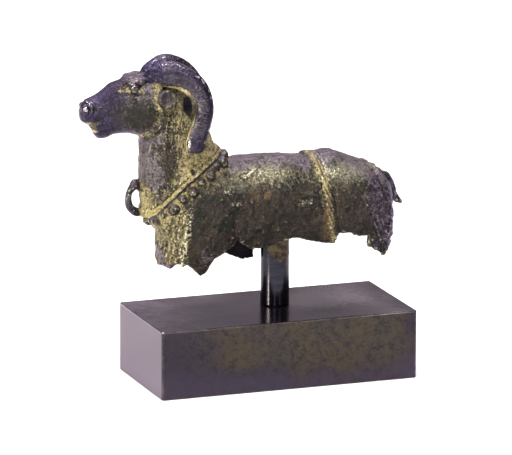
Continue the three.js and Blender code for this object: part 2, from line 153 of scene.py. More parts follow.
# Bent rods in the middle plane, as x, z
LOOP_ROUTE = [(-46, 76), (-50.2, 75.6), (-53, 73), (-53.6, 69.6), (-52.6, 66.6), (-50, 65), (-46, 64.6)]
TAIL_ROUTE = [(43, 71), (46.4, 71), (48.4, 68.6), (50, 65.2), (51.8, 62.6), (54.2, 61)]
TAIL_RADIUS = [(0, 2.4), (0.4, 2.2), (0.7, 1.5), (1, 0.7)]

# Balls fused on: at the loop's ends and along the crest before the tail, as x, z and radii
LOOP_KNOBS = [((-51, 75.5), (2, 1.9, 1.8)), ((-48.3, 74.4), (2.3, 1.8, 2.3)),
              ((-47.7, 66.6), (1.3, 1.6, 1.2))]
CREST_KNOBS = [((47.0, 71.6), (2.1, 2.3, 1.5)), ((38.5, 77.3), (1.7, 2.8, 1.4)),
               ((41.9, 75.3), (1.6, 3.0, 1.4)), ((44.6, 73.5), (1.2, 2.6, 1.3))]

# Balls fused onto each side of the head, as x, distance out, z and radii: the eye, two knobs of the
# brow and the nostril's knob. The last one bridges the brow across the middle.
HEAD_BALLS = [((EYE_BALL_X, 7.3, EYE_LEVEL + 1.0), (1.6, 1.5, 2.5)),
              ((-52.1, 5.4, 113.9), (2.6, 2.3, 1.8)), ((-49.6, 5.2, 114.4), (2.6, 2.3, 1.8)),
              ((NOSTRIL_X, 3.5, NOSTRIL_Z), (1.6, 1.6, 1.6))]
BROW_BRIDGE = ((-51.6, 0, 113.4), (4.8, 6.6, 2.7))

# Collar: an oval ring that leans back, its strap, and the pellets behind it
COLLAR_CENTRE = np.array([-33.6, MID_Y, 76.0])
COLLAR_LEAN = math.radians(39)
COLLAR_LENGTH = 18.3
COLLAR_BREADTH = 12.2
STRAP_WIDTH = 2.5
STRAP_THICKNESS = 1.5
STRAP_BOW = 2.8
PELLET_COUNT = 12
FIRST_PELLET = math.radians(27)
PELLET_RADIUS = 2.0
SMALL_PELLET_RADIUS = 1.4
PELLET_OFFSET = 3.7
PELLET_DROP = 1.6
SMALL_DROP = 0.6
PELLET_RISE = 0.3

# Band round the body: where it crosses the back, its lean, and its raised cross profile
BAND_X = 16.7
BAND_LEAN = 0.16
BAND_WIDTH = 3.0
BAND_RELIEF = 0.8

# Lines as heights and places: how far back the rim at the rear lies, and how far round the breast
# its side ridges lie
REAR_RIM = ([45, 60, 70, 78], [43.4, 45.2, 44, 40.5])
BREAST_RIDGE = ([46, 52, 58, 66], [10.2, 11, 12.4, 13.6])

# Places that the relief and finishes share, as x and z, and all but the first with their radii
DENT = (-32.4, 81)
THROAT_PATCH = ((-46.5, 80), (3.6, 5))
LOOP_PATCH = ((-48.2, 71.4), (1.5, 6))
NECK_PATCH = ((-40.3, 84), (3.5, 8))
CREST_PATCH = ((41, 77.2), (6, 1.8))

# Fineness of the mesh as the core, the details and the last skin are fused, and its size at the end
CORE_VOXEL = 0.55
FINE_VOXEL = 0.36
DETAIL_VOXEL = FINE_VOXEL * 1.15
FACE_LIMIT = 188000

# Rounds of averaging with the neighbours: to soften the core, and to find narrow and broad hollows
SOFTEN_ROUNDS = 50
NEAR_ROUNDS = 6
FAR_ROUNDS = 40

# Steps of the path on which places along the horn are measured, and the distance given to points
# that are nowhere near it
HORN_MARK_STEPS = 65
OUT_OF_REACH = 99.0

# Cells along each side of the lattice that the noise repeats after
NOISE_CELLS = 32


def line(pairs):
    """A smooth curve through (place, value) pairs that never overshoots them: a cubic between each
    two, whose slope at a pair is the harmonic mean of the slopes beside it."""
    places, values = (np.array(column, float) for column in zip(*pairs))
    width = np.diff(places)
    slope = np.diff(values) / width
    before = np.concatenate([slope[:1], slope])
    after = np.concatenate([slope, slope[-1:]])
    total = before + after
    tangent = np.where(before * after > 0, 2 * before * after / np.where(total == 0, 1, total), 0)

    def at(x):
        x = np.clip(x, places[0], places[-1])
        i = np.clip(np.searchsorted(places, x) - 1, 0, len(width) - 1)
        t = (x - places[i]) / width[i]
        bend = (1 - t) * t * width[i] * (tangent[i] * (1 - t) - tangent[i + 1] * t)
        return values[i] + (values[i + 1] - values[i]) * t * t * (3 - 2 * t) + bend
    return at


def smoothstep(low, high, x):
    """0 at low and 1 at high, and between them three times the share squared less twice its cube."""
    t = np.clip((x - low) / (high - low), 0, 1)
    return t * t * (3 - 2 * t)


def spread(first, last, count):
    """Places from first to last, closer together towards both ends."""
    t = np.linspace(0, 1, count)
    return first + (last - first) * (0.5 * t + 0.25 * (1 - np.cos(np.pi * t)))


def squircle(angle, squareness):
    """The cosine and sine of an angle with their size raised to 2 / squareness."""
    c, s = np.cos(angle), np.sin(angle)
    return (np.sign(c) * np.abs(c) ** (2 / squareness), np.sign(s) * np.abs(s) ** (2 / squareness))


def turn_head(points):
    """Turns points about the upright axis through the neck by the head's turn."""
    x, y = points[..., 0] - HEAD_PIVOT_X, points[..., 1] - MID_Y
    c, s = math.cos(-HEAD_TURN), math.sin(-HEAD_TURN)
    turned = points.copy()
    turned[..., 0] = HEAD_PIVOT_X + c * x - s * y
    turned[..., 1] = MID_Y + s * x + c * y
    return turned


def turn_head_back(points):
    """Undoes turn_head."""
    x, y = points[..., 0] - HEAD_PIVOT_X, points[..., 1] - MID_Y
    c, s = math.cos(HEAD_TURN), math.sin(HEAD_TURN)
    straight = points.copy()
    straight[..., 0] = HEAD_PIVOT_X + c * x - s * y
    straight[..., 1] = MID_Y + s * x + c * y
    return straight


def grid_mesh(rings, closed=False):
    """Points and faces of a closed surface from a (rings, around, 3) grid. Open ends are capped
    with a fan to the ring's centre, and the faces are turned outwards."""
    count, around = rings.shape[:2]
    points = rings.reshape(-1, 3)
    rows = np.arange(count if closed else count - 1)[:, None]
    cols = np.arange(around)[None, :]
    here, there = rows * around, ((rows + 1) % count) * around
    after = (cols + 1) % around
    quads = np.stack([here + cols, here + after, there + after, there + cols], -1).reshape(-1, 4)
    faces = [tuple(q) for q in quads.tolist()]
    if not closed:
        points = np.vstack([points, rings[0].mean(0), rings[-1].mean(0)])
        j = np.arange(around)
        k = (j + 1) % around
        tip = len(points) - 2
        last = (count - 1) * around
        faces += [(b, a, tip) for a, b in zip(j.tolist(), k.tolist())]
        faces += [(last + a, last + b, tip + 1) for a, b in zip(j.tolist(), k.tolist())]
    first = np.array([(f[0], f[1], f[2]) for f in faces])
    rest = np.array([(f[0], f[2], f[3]) for f in faces if len(f) == 4])
    tris = points[np.vstack([first, rest])]
    volume = np.einsum("ij,ij->", tris[:, 0], np.cross(tris[:, 1], tris[:, 2]))
    if volume < 0:
        faces = [f[::-1] for f in faces]
    return points, faces


def join(meshes):
    """One list of points and one of faces from several."""
    points, faces, offset = [], [], 0
    for some_points, some_faces in meshes:
        points.append(some_points)
        faces += [tuple(i + offset for i in f) for f in some_faces]
        offset += len(some_points)
    return np.vstack(points), faces


def make_object(name, points, faces):
    """A piece from points in millimetres and faces, with its place in its mesh."""
    mesh = bpy.data.meshes.new(name)
    mesh.from_pydata((points * MM).tolist(), [], faces)
    mesh.update()
    made = bpy.data.objects.new(name, mesh)
    bpy.context.scene.collection.objects.link(made)
    return made


def apply_modifiers(piece):
    """Bakes a piece's modifiers into its mesh."""
    graph = bpy.context.evaluated_depsgraph_get()
    baked = bpy.data.meshes.new_from_object(piece.evaluated_get(graph))
    piece.modifiers.clear()
    piece.data = baked


def remesh(piece, voxel):
    """Fuses what overlaps in a piece into one even skin."""
    modifier = piece.modifiers.new("fuse", "REMESH")
    modifier.mode = "VOXEL"
    modifier.voxel_size = voxel * MM
    apply_modifiers(piece)


def read_points(piece):
    flat = np.empty(len(piece.data.vertices) * 3, np.float32)
    piece.data.vertices.foreach_get("co", flat)
    return flat.reshape(-1, 3).astype(float) / MM


def write_points(piece, points):
    piece.data.vertices.foreach_set("co", (points * MM).astype(np.float32).ravel())
    piece.data.update()


def read_edges(piece):
    flat = np.empty(len(piece.data.edges) * 2, np.int32)
    piece.data.edges.foreach_get("vertices", flat)
    return flat.reshape(-1, 2)


def read_normals(piece):
    flat = np.empty(len(piece.data.vertices) * 3, np.float32)
    piece.data.vertices.foreach_get("normal", flat)
    return flat.reshape(-1, 3).astype(float)


def neighbour_mean(values, edges):
    """The mean of each vertex's neighbours, for one value or three a vertex."""
    a, b = edges.T
    count = len(values)
    degree = np.bincount(a, minlength=count) + np.bincount(b, minlength=count)
    columns = values.reshape(count, -1)
    summed = [np.bincount(a, columns[b, k], count) + np.bincount(b, columns[a, k], count)
              for k in range(columns.shape[1])]
    return (np.stack(summed, 1) / np.maximum(degree, 1)[:, None]).reshape(values.shape)


def soften(points, edges, weight, rounds):
    """Moves each vertex towards its neighbours' mean by its weight, then a little back out, so that
    creases soften and thin forms don't shrink."""
    for _ in range(rounds):
        points = points + weight[:, None] * 0.6 * (neighbour_mean(points, edges) - points)
        points = points - weight[:, None] * 0.45 * (neighbour_mean(points, edges) - points)
    return points


back_line, belly_line, body_half_width = line(BACK_LINE), line(BELLY_LINE), line(BODY_HALF_WIDTH)


def body_sections(x, angle, grow=0.0, lean=0.0):
    """Upright sections of the body. Each is a squarish oval whose widest height is the girth height,
    or the middle where the back is lower, grown outwards by grow and sheared back by lean."""
    x, angle, grow = np.broadcast_arrays(x, angle, np.asarray(grow, float))
    low_back = back_line(x) - GIRTH_HEIGHT <= 2
    middle = np.where(low_back, (back_line(x) + belly_line(x)) / 2, GIRTH_HEIGHT)
    across, rise = squircle(angle, BODY_SQUARENESS)
    above = back_line(x) - middle + grow
    below = middle - belly_line(x) + grow
    z = middle + rise * np.where(rise > 0, above, below)
    y = MID_Y + across * (body_half_width(x) + grow)
    return np.stack([x + lean * (BACK_HEIGHT - z), y, z], -1)


def round_angles(count):
    """Even angles once round, as a row."""
    return np.linspace(0, 2 * np.pi, count, endpoint=False)[None, :]


def body_form():
    """The body's upright sections from breast to rear."""
    x = spread(BACK_LINE[0][0], BACK_LINE[-1][0], 150)[:, None]
    return grid_mesh(body_sections(x, round_angles(110)))


brow_line, jaw_line, face_half_width = line(BROW_LINE), line(JAW_LINE), line(FACE_HALF_WIDTH)


def head_out(x, z):
    """How far out from the middle plane the head's side lies, before the turn."""
    brow, jaw = brow_line(x), jaw_line(x)
    rise = np.clip(np.abs(2 * z - brow - jaw) / (brow - jaw), 0, 1)
    return face_half_width(x) * (1 - rise ** HEAD_SQUARENESS) ** (1 / HEAD_SQUARENESS)


def neck_form():
    """Level sections from throat to nape."""
    z = spread(THROAT_LINE[0][0], THROAT_LINE[-1][0], 90)[:, None]
    along, across = squircle(round_angles(96), NECK_SQUARENESS)
    throat, nape = line(THROAT_LINE)(z), line(NAPE_LINE)(z)
    x = (throat + nape) / 2 + along * (nape - throat) / 2
    y = MID_Y + across * line(NECK_HALF_WIDTH)(z)
    return grid_mesh(np.stack([x, y, z + 0 * along], -1))


def head_form():
    """Upright sections between the brow line and the jaw line."""
    x = spread(BROW_LINE[0][0], BROW_LINE[-1][0], 90)[:, None]
    across, rise = squircle(round_angles(80), HEAD_SQUARENESS)
    brow, jaw = brow_line(x), jaw_line(x)
    z = (brow + jaw) / 2 + rise * (brow - jaw) / 2
    y = MID_Y + across * face_half_width(x)
    return grid_mesh(turn_head(np.stack([x + 0 * rise, y, z], -1)))


def path_through(points, count):
    """An even smooth path through points: each coordinate follows a Catmull-Rom curve."""
    points = np.asarray(points, float)
    last = len(points) - 1
    t = np.linspace(0, last, count)
    i = np.minimum(t.astype(int), last - 1)
    f = (t - i)[:, None]
    a, b, c, d = (points[np.clip(i + k, 0, last)] for k in (-1, 0, 1, 2))
    return 0.5 * (2 * b + (c - a) * f + (2 * a - 5 * b + 4 * c - d) * f ** 2
                  + (3 * b - a - 3 * c + d) * f ** 3)


def sweep(path, section, breadth, thickness):
    """Carries a section along a path. The section's first axis lies in the path's upright plane,
    square to it, and its second points across; breadth and thickness scale them along the way."""
    step = np.gradient(path, axis=0)
    along = step / np.linalg.norm(step, axis=1, keepdims=True)
    broad = np.cross(along, [0, 1, 0])
    broad /= np.linalg.norm(broad, axis=1, keepdims=True)
    across = np.cross(broad, along)
    a, b = section
    a = a[None, :, None] * np.asarray(breadth, float).reshape(-1, 1, 1)
    b = b[None, :, None] * np.asarray(thickness, float).reshape(-1, 1, 1)
    return path[:, None] + a * broad[:, None] + b * across[:, None]


def horn_path(side, count=HORN_STEPS):
    """The curve through the horn's places, on one side of the middle plane."""
    rows = np.array(HORN_LINE, float)
    return path_through(np.stack([rows[:, 0], MID_Y + side * rows[:, 2], rows[:, 1]], 1), count)


def horn_form(side):
    """The horn's section is flat on its outer side, with a bevel towards the outside of the curl
    and a shallow groove where the two meet; the far horn mirrors it."""
    sizes = path_through(np.array(HORN_LINE, float)[:, 3:], HORN_STEPS)
    a, b = squircle(np.linspace(0, 2 * np.pi, 72, endpoint=False), HORN_SQUARENESS)
    b = b * (1 - HORN_BEVEL * smoothstep(HORN_CREASE - 0.1, 1, a))
    crease = groove(a - HORN_CREASE, CREASE_WIDTH) * (np.abs(b) > 0.5)
    b = b * (1 - CREASE_DEPTH * crease)
    past = ((np.linspace(0, 1, HORN_STEPS) - HORN_END) / (1 - HORN_END)).clip(0)
    end = np.sqrt(np.clip(1 - past ** 2, 0.12, 1))
    rings = sweep(horn_path(side), (a, b), sizes[:, 0] * end, sizes[:, 1] * end)
    return grid_mesh(turn_head(rings))


def ball(centre, radii, turned=False, count=28):
    """An ellipsoid by longitude and latitude."""
    lat = np.linspace(-np.pi / 2 + 0.12, np.pi / 2 - 0.12, count // 2)[:, None]
    lon = round_angles(count)
    unit = np.stack([np.cos(lat) * np.cos(lon), np.cos(lat) * np.sin(lon), np.sin(lat) + 0 * lon], -1)
    rings = np.asarray(centre, float) + unit * np.asarray(radii, float)
    return grid_mesh(turn_head(rings) if turned else rings)


def ear_form(side):
    """The ear's dish: a profile of radius and height turned about the across axis."""
    radius, height = np.array(EAR_PROFILE, float).T[:, :, None]
    x, out, z = EAR_CENTRE
    angle = round_angles(48)
    rings = np.stack([x + radius * np.cos(angle), MID_Y + side * out + side * height + 0 * angle,
                      z + radius * np.sin(angle)], -1)
    return grid_mesh(turn_head(rings))


def collar_point(angle, behind, outwards):
    """A point of the collar's oval, which leans back: angle 0 is the throat."""
    lengthwise = -(COLLAR_LENGTH + outwards) * np.cos(angle)
    offset = behind - STRAP_BOW * np.sin(angle) ** 2
    c, s = math.cos(COLLAR_LEAN), math.sin(COLLAR_LEAN)
    return np.stack([COLLAR_CENTRE[0] + lengthwise * c + offset * s,
                     COLLAR_CENTRE[1] - (COLLAR_BREADTH + outwards) * np.sin(angle),
                     COLLAR_CENTRE[2] + lengthwise * s - offset * c], -1)


def strap_form():
    """A flat strap with a fine raised edge on its chest side."""
    angle = np.linspace(0, 2 * np.pi, 220, endpoint=False)[:, None]
    across = np.array([-1, -1, -0.75, -0.2, 0.45, 0.7, 0.95, 1.1, 1.1, 0])[None, :]
    out = np.array([-1.6, 0.35, 0.75, 0.8, 0.75, 1.15, 1.15, 0.7, -1.6, -2])[None, :]
    rings = collar_point(angle, across * STRAP_WIDTH / 2, out * STRAP_THICKNESS / 2)
    return grid_mesh(rings, closed=True)


def pellets():
    """Centres and radii of the pellets below the strap, large and small by turns. They hang lower
    on the sides than at the throat and the crest."""
    rng = np.random.default_rng(7)
    large = np.arange(2 * PELLET_COUNT) % 2 == 0
    radii = np.where(large, PELLET_RADIUS, SMALL_PELLET_RADIUS) * rng.uniform(0.9, 1.08, len(large))
    angles = FIRST_PELLET + np.pi * np.arange(len(large)) / PELLET_COUNT
    angles += rng.uniform(-0.03, 0.03, len(large))
    drop = np.where(large, PELLET_DROP, SMALL_DROP) * np.sin(angles) ** 2
    behind = PELLET_OFFSET + drop + rng.uniform(-0.25, 0.25, len(large))
    return collar_point(angles, behind, np.where(large, PELLET_RISE, 0)), radii


def pellet_forms():
    """A small ball at each pellet's place."""
    return [ball(centre, (radius, radius, radius), count=24) for centre, radius in zip(*pellets())]


def middle_path(route, count):
    """A smooth path in the middle plane through places given as x and z."""
    return path_through([(x, MID_Y, z) for x, z in route], count)


def rod(path, radius, count=24):
    """A round rod along a path, with its radius given at each step or for all."""
    angle = np.linspace(0, 2 * np.pi, count, endpoint=False)
    radius = np.broadcast_to(radius, len(path))
    return grid_mesh(sweep(path, (np.cos(angle), np.sin(angle)), radius, radius * 1.1))


def middle_balls(rows):
    """Ellipsoids in the middle plane, each given as its x and z and its radii."""
    return [ball((x, MID_Y, z), radii) for (x, z), radii in rows]


def loop_forms():
    """The throat loop, with a knob and a web at its upper root and a curled lower end."""
    wave = 1.35 + 0.1 * np.sin(np.linspace(0, 11, 70))
    return [rod(middle_path(LOOP_ROUTE, 70), wave), *middle_balls(LOOP_KNOBS)]


def tail_forms():
    """The tail's stub, the knob on its root, and the low knobs along the crest before it."""
    radius = line(TAIL_RADIUS)(np.linspace(0, 1, 60))
    return [rod(middle_path(TAIL_ROUTE, 60), radius), *middle_balls(CREST_KNOBS)]


def band_form():
    """A ring round the body: its cross profile is carried round the body's leaning section."""
    along = np.array([-0.5, -0.45, -0.3, -0.05, 0.12, 0.2, 0.3, 0.45, 0.5, 0.3, -0.3])
    relief = np.array([-1.2, 0.6, 1, 0.9, 0.35, 0.3, 0.8, 0.75, -1.2, -1.6, -1.6])
    angle = np.linspace(0, 2 * np.pi, 260, endpoint=False)[:, None]
    rings = body_sections(BAND_X + along[None, :] * BAND_WIDTH, angle,
                          relief[None, :] * BAND_RELIEF, BAND_LEAN)
    return grid_mesh(rings, closed=True)


def hollow_form():
    """The body's sections shrunk by the wall, more so at both ends."""
    x = spread(HOLLOW_FRONT, HOLLOW_REAR, 60)[:, None]
    ends = line([(HOLLOW_FRONT, 3.5), (HOLLOW_FRONT + 4, 0), (HOLLOW_REAR - 5, 0), (HOLLOW_REAR, 4)])
    return grid_mesh(body_sections(x, round_angles(60), -WALL - ends(x)))


def lost_underside_form():
    """A block whose top is the broken edge: it blends from the near side's line to the far side's
    and carries small waves of several lengths, as torn metal does."""
    x = np.arange(-43, 51.01, 0.25)[:, None]
    y = np.concatenate([[-20], np.arange(-14, 15.1, 1), [20]])[None, :]
    near = np.interp(x, *zip(*NEAR_BREAK))
    far = np.interp(x, *zip(*FAR_BREAK))
    top = near + (far - near) * smoothstep(-10, 4, y)
    top = top + 0.1 * np.sin(x * 3.1 + y * 0.5) + 0.05 * np.sin(x * 7.3 - y * 0.8)
    x, y = np.broadcast_arrays(x, y)
    upper = np.stack([x, MID_Y + y, top], -1)
    lower = np.stack([x[:, ::-1], MID_Y + y[:, ::-1], np.full(x.shape, 20.0)], -1)
    return grid_mesh(np.concatenate([upper, lower], 1))


def wedge(outline, first, last):
    """An outline in the head's plane, carried across from one distance to another."""
    x, z = np.array(outline, float).T
    out = np.array([first, last])[:, None]
    return grid_mesh(turn_head(np.stack([x + 0 * out, MID_Y + out + 0 * x, z + 0 * out], -1)))


def mouth_forms():
    """The mouth is open right across at the lips, and a slot in each cheek behind them."""
    lips = [(-74, 96.8), (-74, 98.4), (-68.8, 98.2), (-67.9, 97.4), (-67.9, 96.8)]
    depth = float(face_half_width(-65)) - MOUTH_DEPTH
    return [wedge(lips, -9, 9), wedge(MOUTH_OUTLINE, -9, -depth), wedge(MOUTH_OUTLINE, depth, 9)]


def nostril_forms():
    """The hollow behind each knob of the nose."""
    place = (NOSTRIL_X + 3.5, 5.1, NOSTRIL_Z - 0.1)
    return [head_ball(side, place, (0.9, 1.3, 1.5)) for side in (-1, 1)]


def lid_form(side, rise, radius):
    """An eyelid: an arch from corner to corner of the eye, lying on the head's side."""
    share = np.linspace(0, 1, 30)
    x = EYE_FRONT + (EYE_REAR - EYE_FRONT) * share
    z = EYE_LEVEL + rise * np.sin(np.pi * share) ** 0.8 + 0.3 * share
    path = np.stack([x, MID_Y + side * (head_out(x, z) + 0.25), z], -1)
    taper = radius * (0.45 + 0.55 * np.sin(np.pi * share) ** 0.5)
    points, faces = rod(path, taper, 14)
    return turn_head(points), faces


def cut(piece, points, faces):
    """Takes a closed form away from a piece."""
    tool = make_object("cutter", points, faces)
    modifier = piece.modifiers.new("cut", "BOOLEAN")
    modifier.operation = "DIFFERENCE"
    modifier.solver = "MANIFOLD"
    modifier.object = tool
    apply_modifiers(piece)
    bpy.data.objects.remove(tool)


def head_ball(side, place, radii):
    """An ellipsoid on one side of the head, turned with it."""
    x, out, z = place
    return ball((x, MID_Y + side * out, z), radii, turned=True)


def ram_mesh():
    """Core forms fused and softened, most of all at the breast, details fused on, then the hollow,
    the break, the mouth and the nostrils cut, and the whole skin made even again."""
    ram = make_object("ram_casting", *join([body_form(), neck_form(), head_form()]))
    remesh(ram, CORE_VOXEL)
    points, edges = read_points(ram), read_edges(ram)
    x, z = points[:, 0], points[:, 2]
    breast = smoothstep(90, 80, z) * smoothstep(-4, -14, x)
    points = soften(points, edges, 0.15 + 0.85 * breast, SOFTEN_ROUNDS)
    forms = [(points, [tuple(f.vertices) for f in ram.data.polygons]), strap_form(), band_form(),
             *loop_forms(), *tail_forms(), *pellet_forms()]
    for side in (-1, 1):
        forms += [horn_form(side), ear_form(side), *(lid_form(side, *lid) for lid in EYELIDS),
                  *(head_ball(side, *row) for row in HEAD_BALLS)]
    forms.append(head_ball(1, *BROW_BRIDGE))
    bpy.data.objects.remove(ram)
    ram = make_object("ram_casting", *join(forms))
    remesh(ram, DETAIL_VOXEL)
    for form in (hollow_form(), lost_underside_form(), *mouth_forms(), *nostril_forms()):
        cut(ram, *form)
    remesh(ram, FINE_VOXEL)
    return ram


def soft_noise(points, size, seed):
    """Smooth noise from -1 to 1: random values on a cubic lattice of that size, blended between the
    eight corners round each point."""
    lattice = np.random.default_rng(seed).uniform(-1, 1, (NOISE_CELLS, NOISE_CELLS, NOISE_CELLS))
    place = points / size
    base = np.floor(place).astype(int)
    t = place - base
    t = t * t * (3 - 2 * t)
    total = np.zeros(len(points))
    for corner in itertools.product((0, 1), repeat=3):
        index = (base + corner) % NOISE_CELLS
        total += np.prod(np.where(corner, t, 1 - t), axis=1) * lattice[tuple(index.T)]
    return total


def blob(points, centre, radii):
    """1 at a centre, falling off smoothly over the radii."""
    return np.exp(-(((points - centre) / radii) ** 2).sum(1))


def spots(points, rows):
    """The sum of several blobs, each row a share, a centre and radii."""
    return sum(share * blob(points, centre, radii) for share, centre, radii in rows)


def nearest_step(points, path, reach=8.0):
    """Each point's distance to a path, up to a reach, and the number of the path's nearest step."""
    distance, step = np.full(len(points), OUT_OF_REACH), np.zeros(len(points), int)
    near = np.flatnonzero(np.all((points > path.min(0) - reach) & (points < path.max(0) + reach), 1))
    gaps = np.linalg.norm(points[near, None] - path[None], axis=2)
    step[near] = gaps.argmin(1)
    distance[near] = gaps.min(1)
    return distance, step


def run_along(path):
    """The length of a path from its start to each step."""
    return np.concatenate([[0], np.cumsum(np.linalg.norm(np.diff(path, axis=0), axis=1))])


def groove(offset, width):
    """1 in the middle of a line, falling off to both sides."""
    return np.exp(-(offset / width) ** 2)


def hair_locks(across, up, width, length):
    """Staggered rows of pointed locks: each is a ridge that narrows and rises towards its tip."""
    row = np.floor(up / length)
    column = across / width + 0.5 * (row % 2)
    a = column - np.floor(column)
    b = up / length - row
    ridge = np.clip(1 - np.abs(2 * a - 1) / (0.2 + 0.8 * b ** 0.7), 0, 1)
    return ridge ** 0.7 * (1.1 - 0.8 * b)


class Marks:
    """Where each vertex of the ram lies among its parts: distances in millimetres, and shares from 0
    to 1 of what it belongs to. What the head carries is measured with the head turned straight."""

    def __init__(self, points, normals):
        self.points, self.normals, self.up = points, normals, normals[:, 2]
        x, y, z = points.T
        self.x, self.z, self.out = x, z, np.abs(y - MID_Y)
        self.side = np.stack([x, z], 1)
        self.head = turn_head_back(points)
        self.head_side, self.head_x = self.head[:, [0, 2]], self.head[:, 0]
        self.head_out = np.abs(self.head[:, 1] - MID_Y)
        self.on_head = smoothstep(-40.5, -42.5, self.head_x) * smoothstep(90, 92, self.head[:, 2])
        self.find_horn()
        self.find_face()
        self.find_hollow()
        self.find_collar()
        self.find_breast(y)
        self.band = x - BAND_X - BAND_LEAN * (BACK_HEIGHT - z)
        self.dent = np.hypot(x - DENT[0], z - DENT[1])
        self.ragged_x = x + 2.5 * soft_noise(points, 4, 13)
        self.rear = smoothstep(31, 41, self.ragged_x + 0.25 * (z - 62) + 3 * soft_noise(points, 9, 18))
        self.on_loop = smoothstep(-50, -51, x) * (z < 80)
        self.round_loop = smoothstep(-49, -50.5, x) * (z < 80)

    def find_horn(self):
        """The distance run along the horn, and how far a point lies over its side and towards the
        outside of the curl. Both horns are folded onto the near one's path."""
        hx, hz = self.head_side.T
        folded = np.stack([hx, MID_Y - self.head_out, hz], 1)
        path = horn_path(-1, HORN_MARK_STEPS)
        gap, step = nearest_step(folded, path)
        self.horn_run = run_along(path)[step]
        breadth = path_through(np.array(HORN_LINE, float)[:, 3:4], HORN_MARK_STEPS)[step, 0]
        self.on_horn = smoothstep(1.3, 1.1, gap / breadth) * ((hz > 112.5) | (hx > -36.3))
        along = np.gradient(path, axis=0)[step]
        offset = folded - path[step]
        broad = np.cross(along, [0, 1, 0])
        broad /= np.linalg.norm(broad, axis=1, keepdims=True)
        self.horn_out = (offset * broad).sum(1) / breadth
        self.horn_over = -offset[:, 1]
        broader = 0.22 * groove(self.horn_run - 20, 7)
        inner_rim = self.on_horn * smoothstep(-0.8 + broader, -0.95 + broader, self.horn_out)
        inner_rim *= (0.75 + 0.5 * soft_noise(self.points, 3, 8)) * smoothstep(0.0, 0.9, self.horn_over)
        self.inner_rim = inner_rim

    def find_face(self):
        """Distances from the middles of the ear, the eye and the nostril."""
        hx, hz = self.head_side.T
        self.ear = np.hypot(hx - EAR_CENTRE[0], hz - EAR_CENTRE[2])
        self.eye_x, self.eye_z = hx - EYE_BALL_X, hz - EYE_LEVEL
        self.nostril_x = hx - NOSTRIL_X
        self.nostril = np.hypot(self.nostril_x, hz - NOSTRIL_Z)

    def find_hollow(self):
        """Whether a point lies on the inner side of the wall: within the body's sections, drawn in
        by a little more than half of the wall."""
        x, z, drawn_in = self.x, self.z, WALL * 0.6
        wall = body_half_width(x) - drawn_in
        inner_top = back_line(x) - drawn_in
        rise = (z - GIRTH_HEIGHT) / np.where(z > GIRTH_HEIGHT, inner_top - GIRTH_HEIGHT,
                                             GIRTH_HEIGHT - belly_line(x) - drawn_in)
        section = np.abs(self.out / wall) ** BODY_SQUARENESS + np.abs(rise) ** BODY_SQUARENESS
        in_length = (x > HOLLOW_FRONT - 1) & (x < HOLLOW_REAR + 1)
        self.inside = in_length & (section < 1) & (z < inner_top)
        self.outside = ~self.inside

    def find_collar(self):
        """The distance behind the strap's plane, and the shares of pellets, neck and body."""
        centres, radii = pellets()
        shares = [np.linalg.norm(self.points - centre, axis=1) / radius
                  for centre, radius in zip(centres, radii)]
        self.on_pellet = smoothstep(1.3, 1.05, np.min(shares, axis=0))
        dx, dz = self.x - COLLAR_CENTRE[0], self.z - COLLAR_CENTRE[2]
        c, s = math.cos(COLLAR_LEAN), math.sin(COLLAR_LEAN)
        lengthwise = dx * c + dz * s
        self.behind_collar = dx * s - dz * c + STRAP_BOW * np.clip(
            1 - (lengthwise / COLLAR_LENGTH) ** 2, 0, 1)
        self.neck = smoothstep(0, -1.5, self.behind_collar) * (self.z > 60) * (1 - self.on_head)
        self.neck *= (1 - self.on_horn) * smoothstep(-50.5, -49, self.x)
        self.body = smoothstep(0, 1.5, self.behind_collar)

    def find_breast(self, y):
        """The distance round the breast, the ridge that runs down each of its sides, and the height
        of its hair locks."""
        x, z = self.x, self.z
        self.turn = np.arctan2(y - MID_Y, -(x + 26)) * 13
        self.ridge = np.abs(self.turn) - np.interp(z, *BREAST_RIDGE)
        self.breast = smoothstep(-33, -35.5, x) * smoothstep(70, 66, z)
        low_breast = smoothstep(-33, -35.5, x) * smoothstep(41, 44, z) * smoothstep(67, 63, z)
        self.locks = low_breast * hair_locks(self.turn + 0.12 * z, z, 1.9, 5.6)


def skin_relief(m):
    """Gentle unevenness all over, with pits and lumps on the flanks and the neck."""
    p = m.points
    calm = 1 - 0.75 * np.maximum(m.on_head * (m.head_x < -52), m.on_horn)
    height = 0.16 * soft_noise(p, 7, 1) + 0.16 * soft_noise(p, 2.6, 2) * calm
    height += 0.11 * soft_noise(p, 1.2, 3) * calm
    flank = m.body * (0.35 + 0.65 * smoothstep(0.75, 0.3, m.up)) * m.outside
    pits = smoothstep(0.45, 0.8, soft_noise(p, 1.9, 4))
    height -= 0.36 * pits * flank + 0.34 * pits * m.neck
    height += 0.34 * np.maximum(soft_noise(p, 1.5, 5), 0) * (flank + 0.5 * m.neck)
    return height


def raise_front(height, m):
    """Adds the breast's locks and ridges, the cheek's edge, and the hollow between ear and horn."""
    height += 0.5 * m.locks * m.outside
    height += 0.5 * groove(m.ridge, 1.0) * (m.z < 68) * (m.x < -32) * m.outside
    cheek = np.hypot(m.head_x + 48.6, m.head[:, 2] - 101.5)
    behind_cheek = (m.head_x > -49) * (m.z > 90) * (m.z < 107) * (m.out > 3)
    height += (0.45 * groove(cheek - 7.2, 0.6) - 0.5 * groove(cheek - 8.3, 0.5)) * behind_cheek
    height -= 1.3 * blob(m.side, (-33.4, 105.6), (1.3, 2.4)) * (m.out > 4)


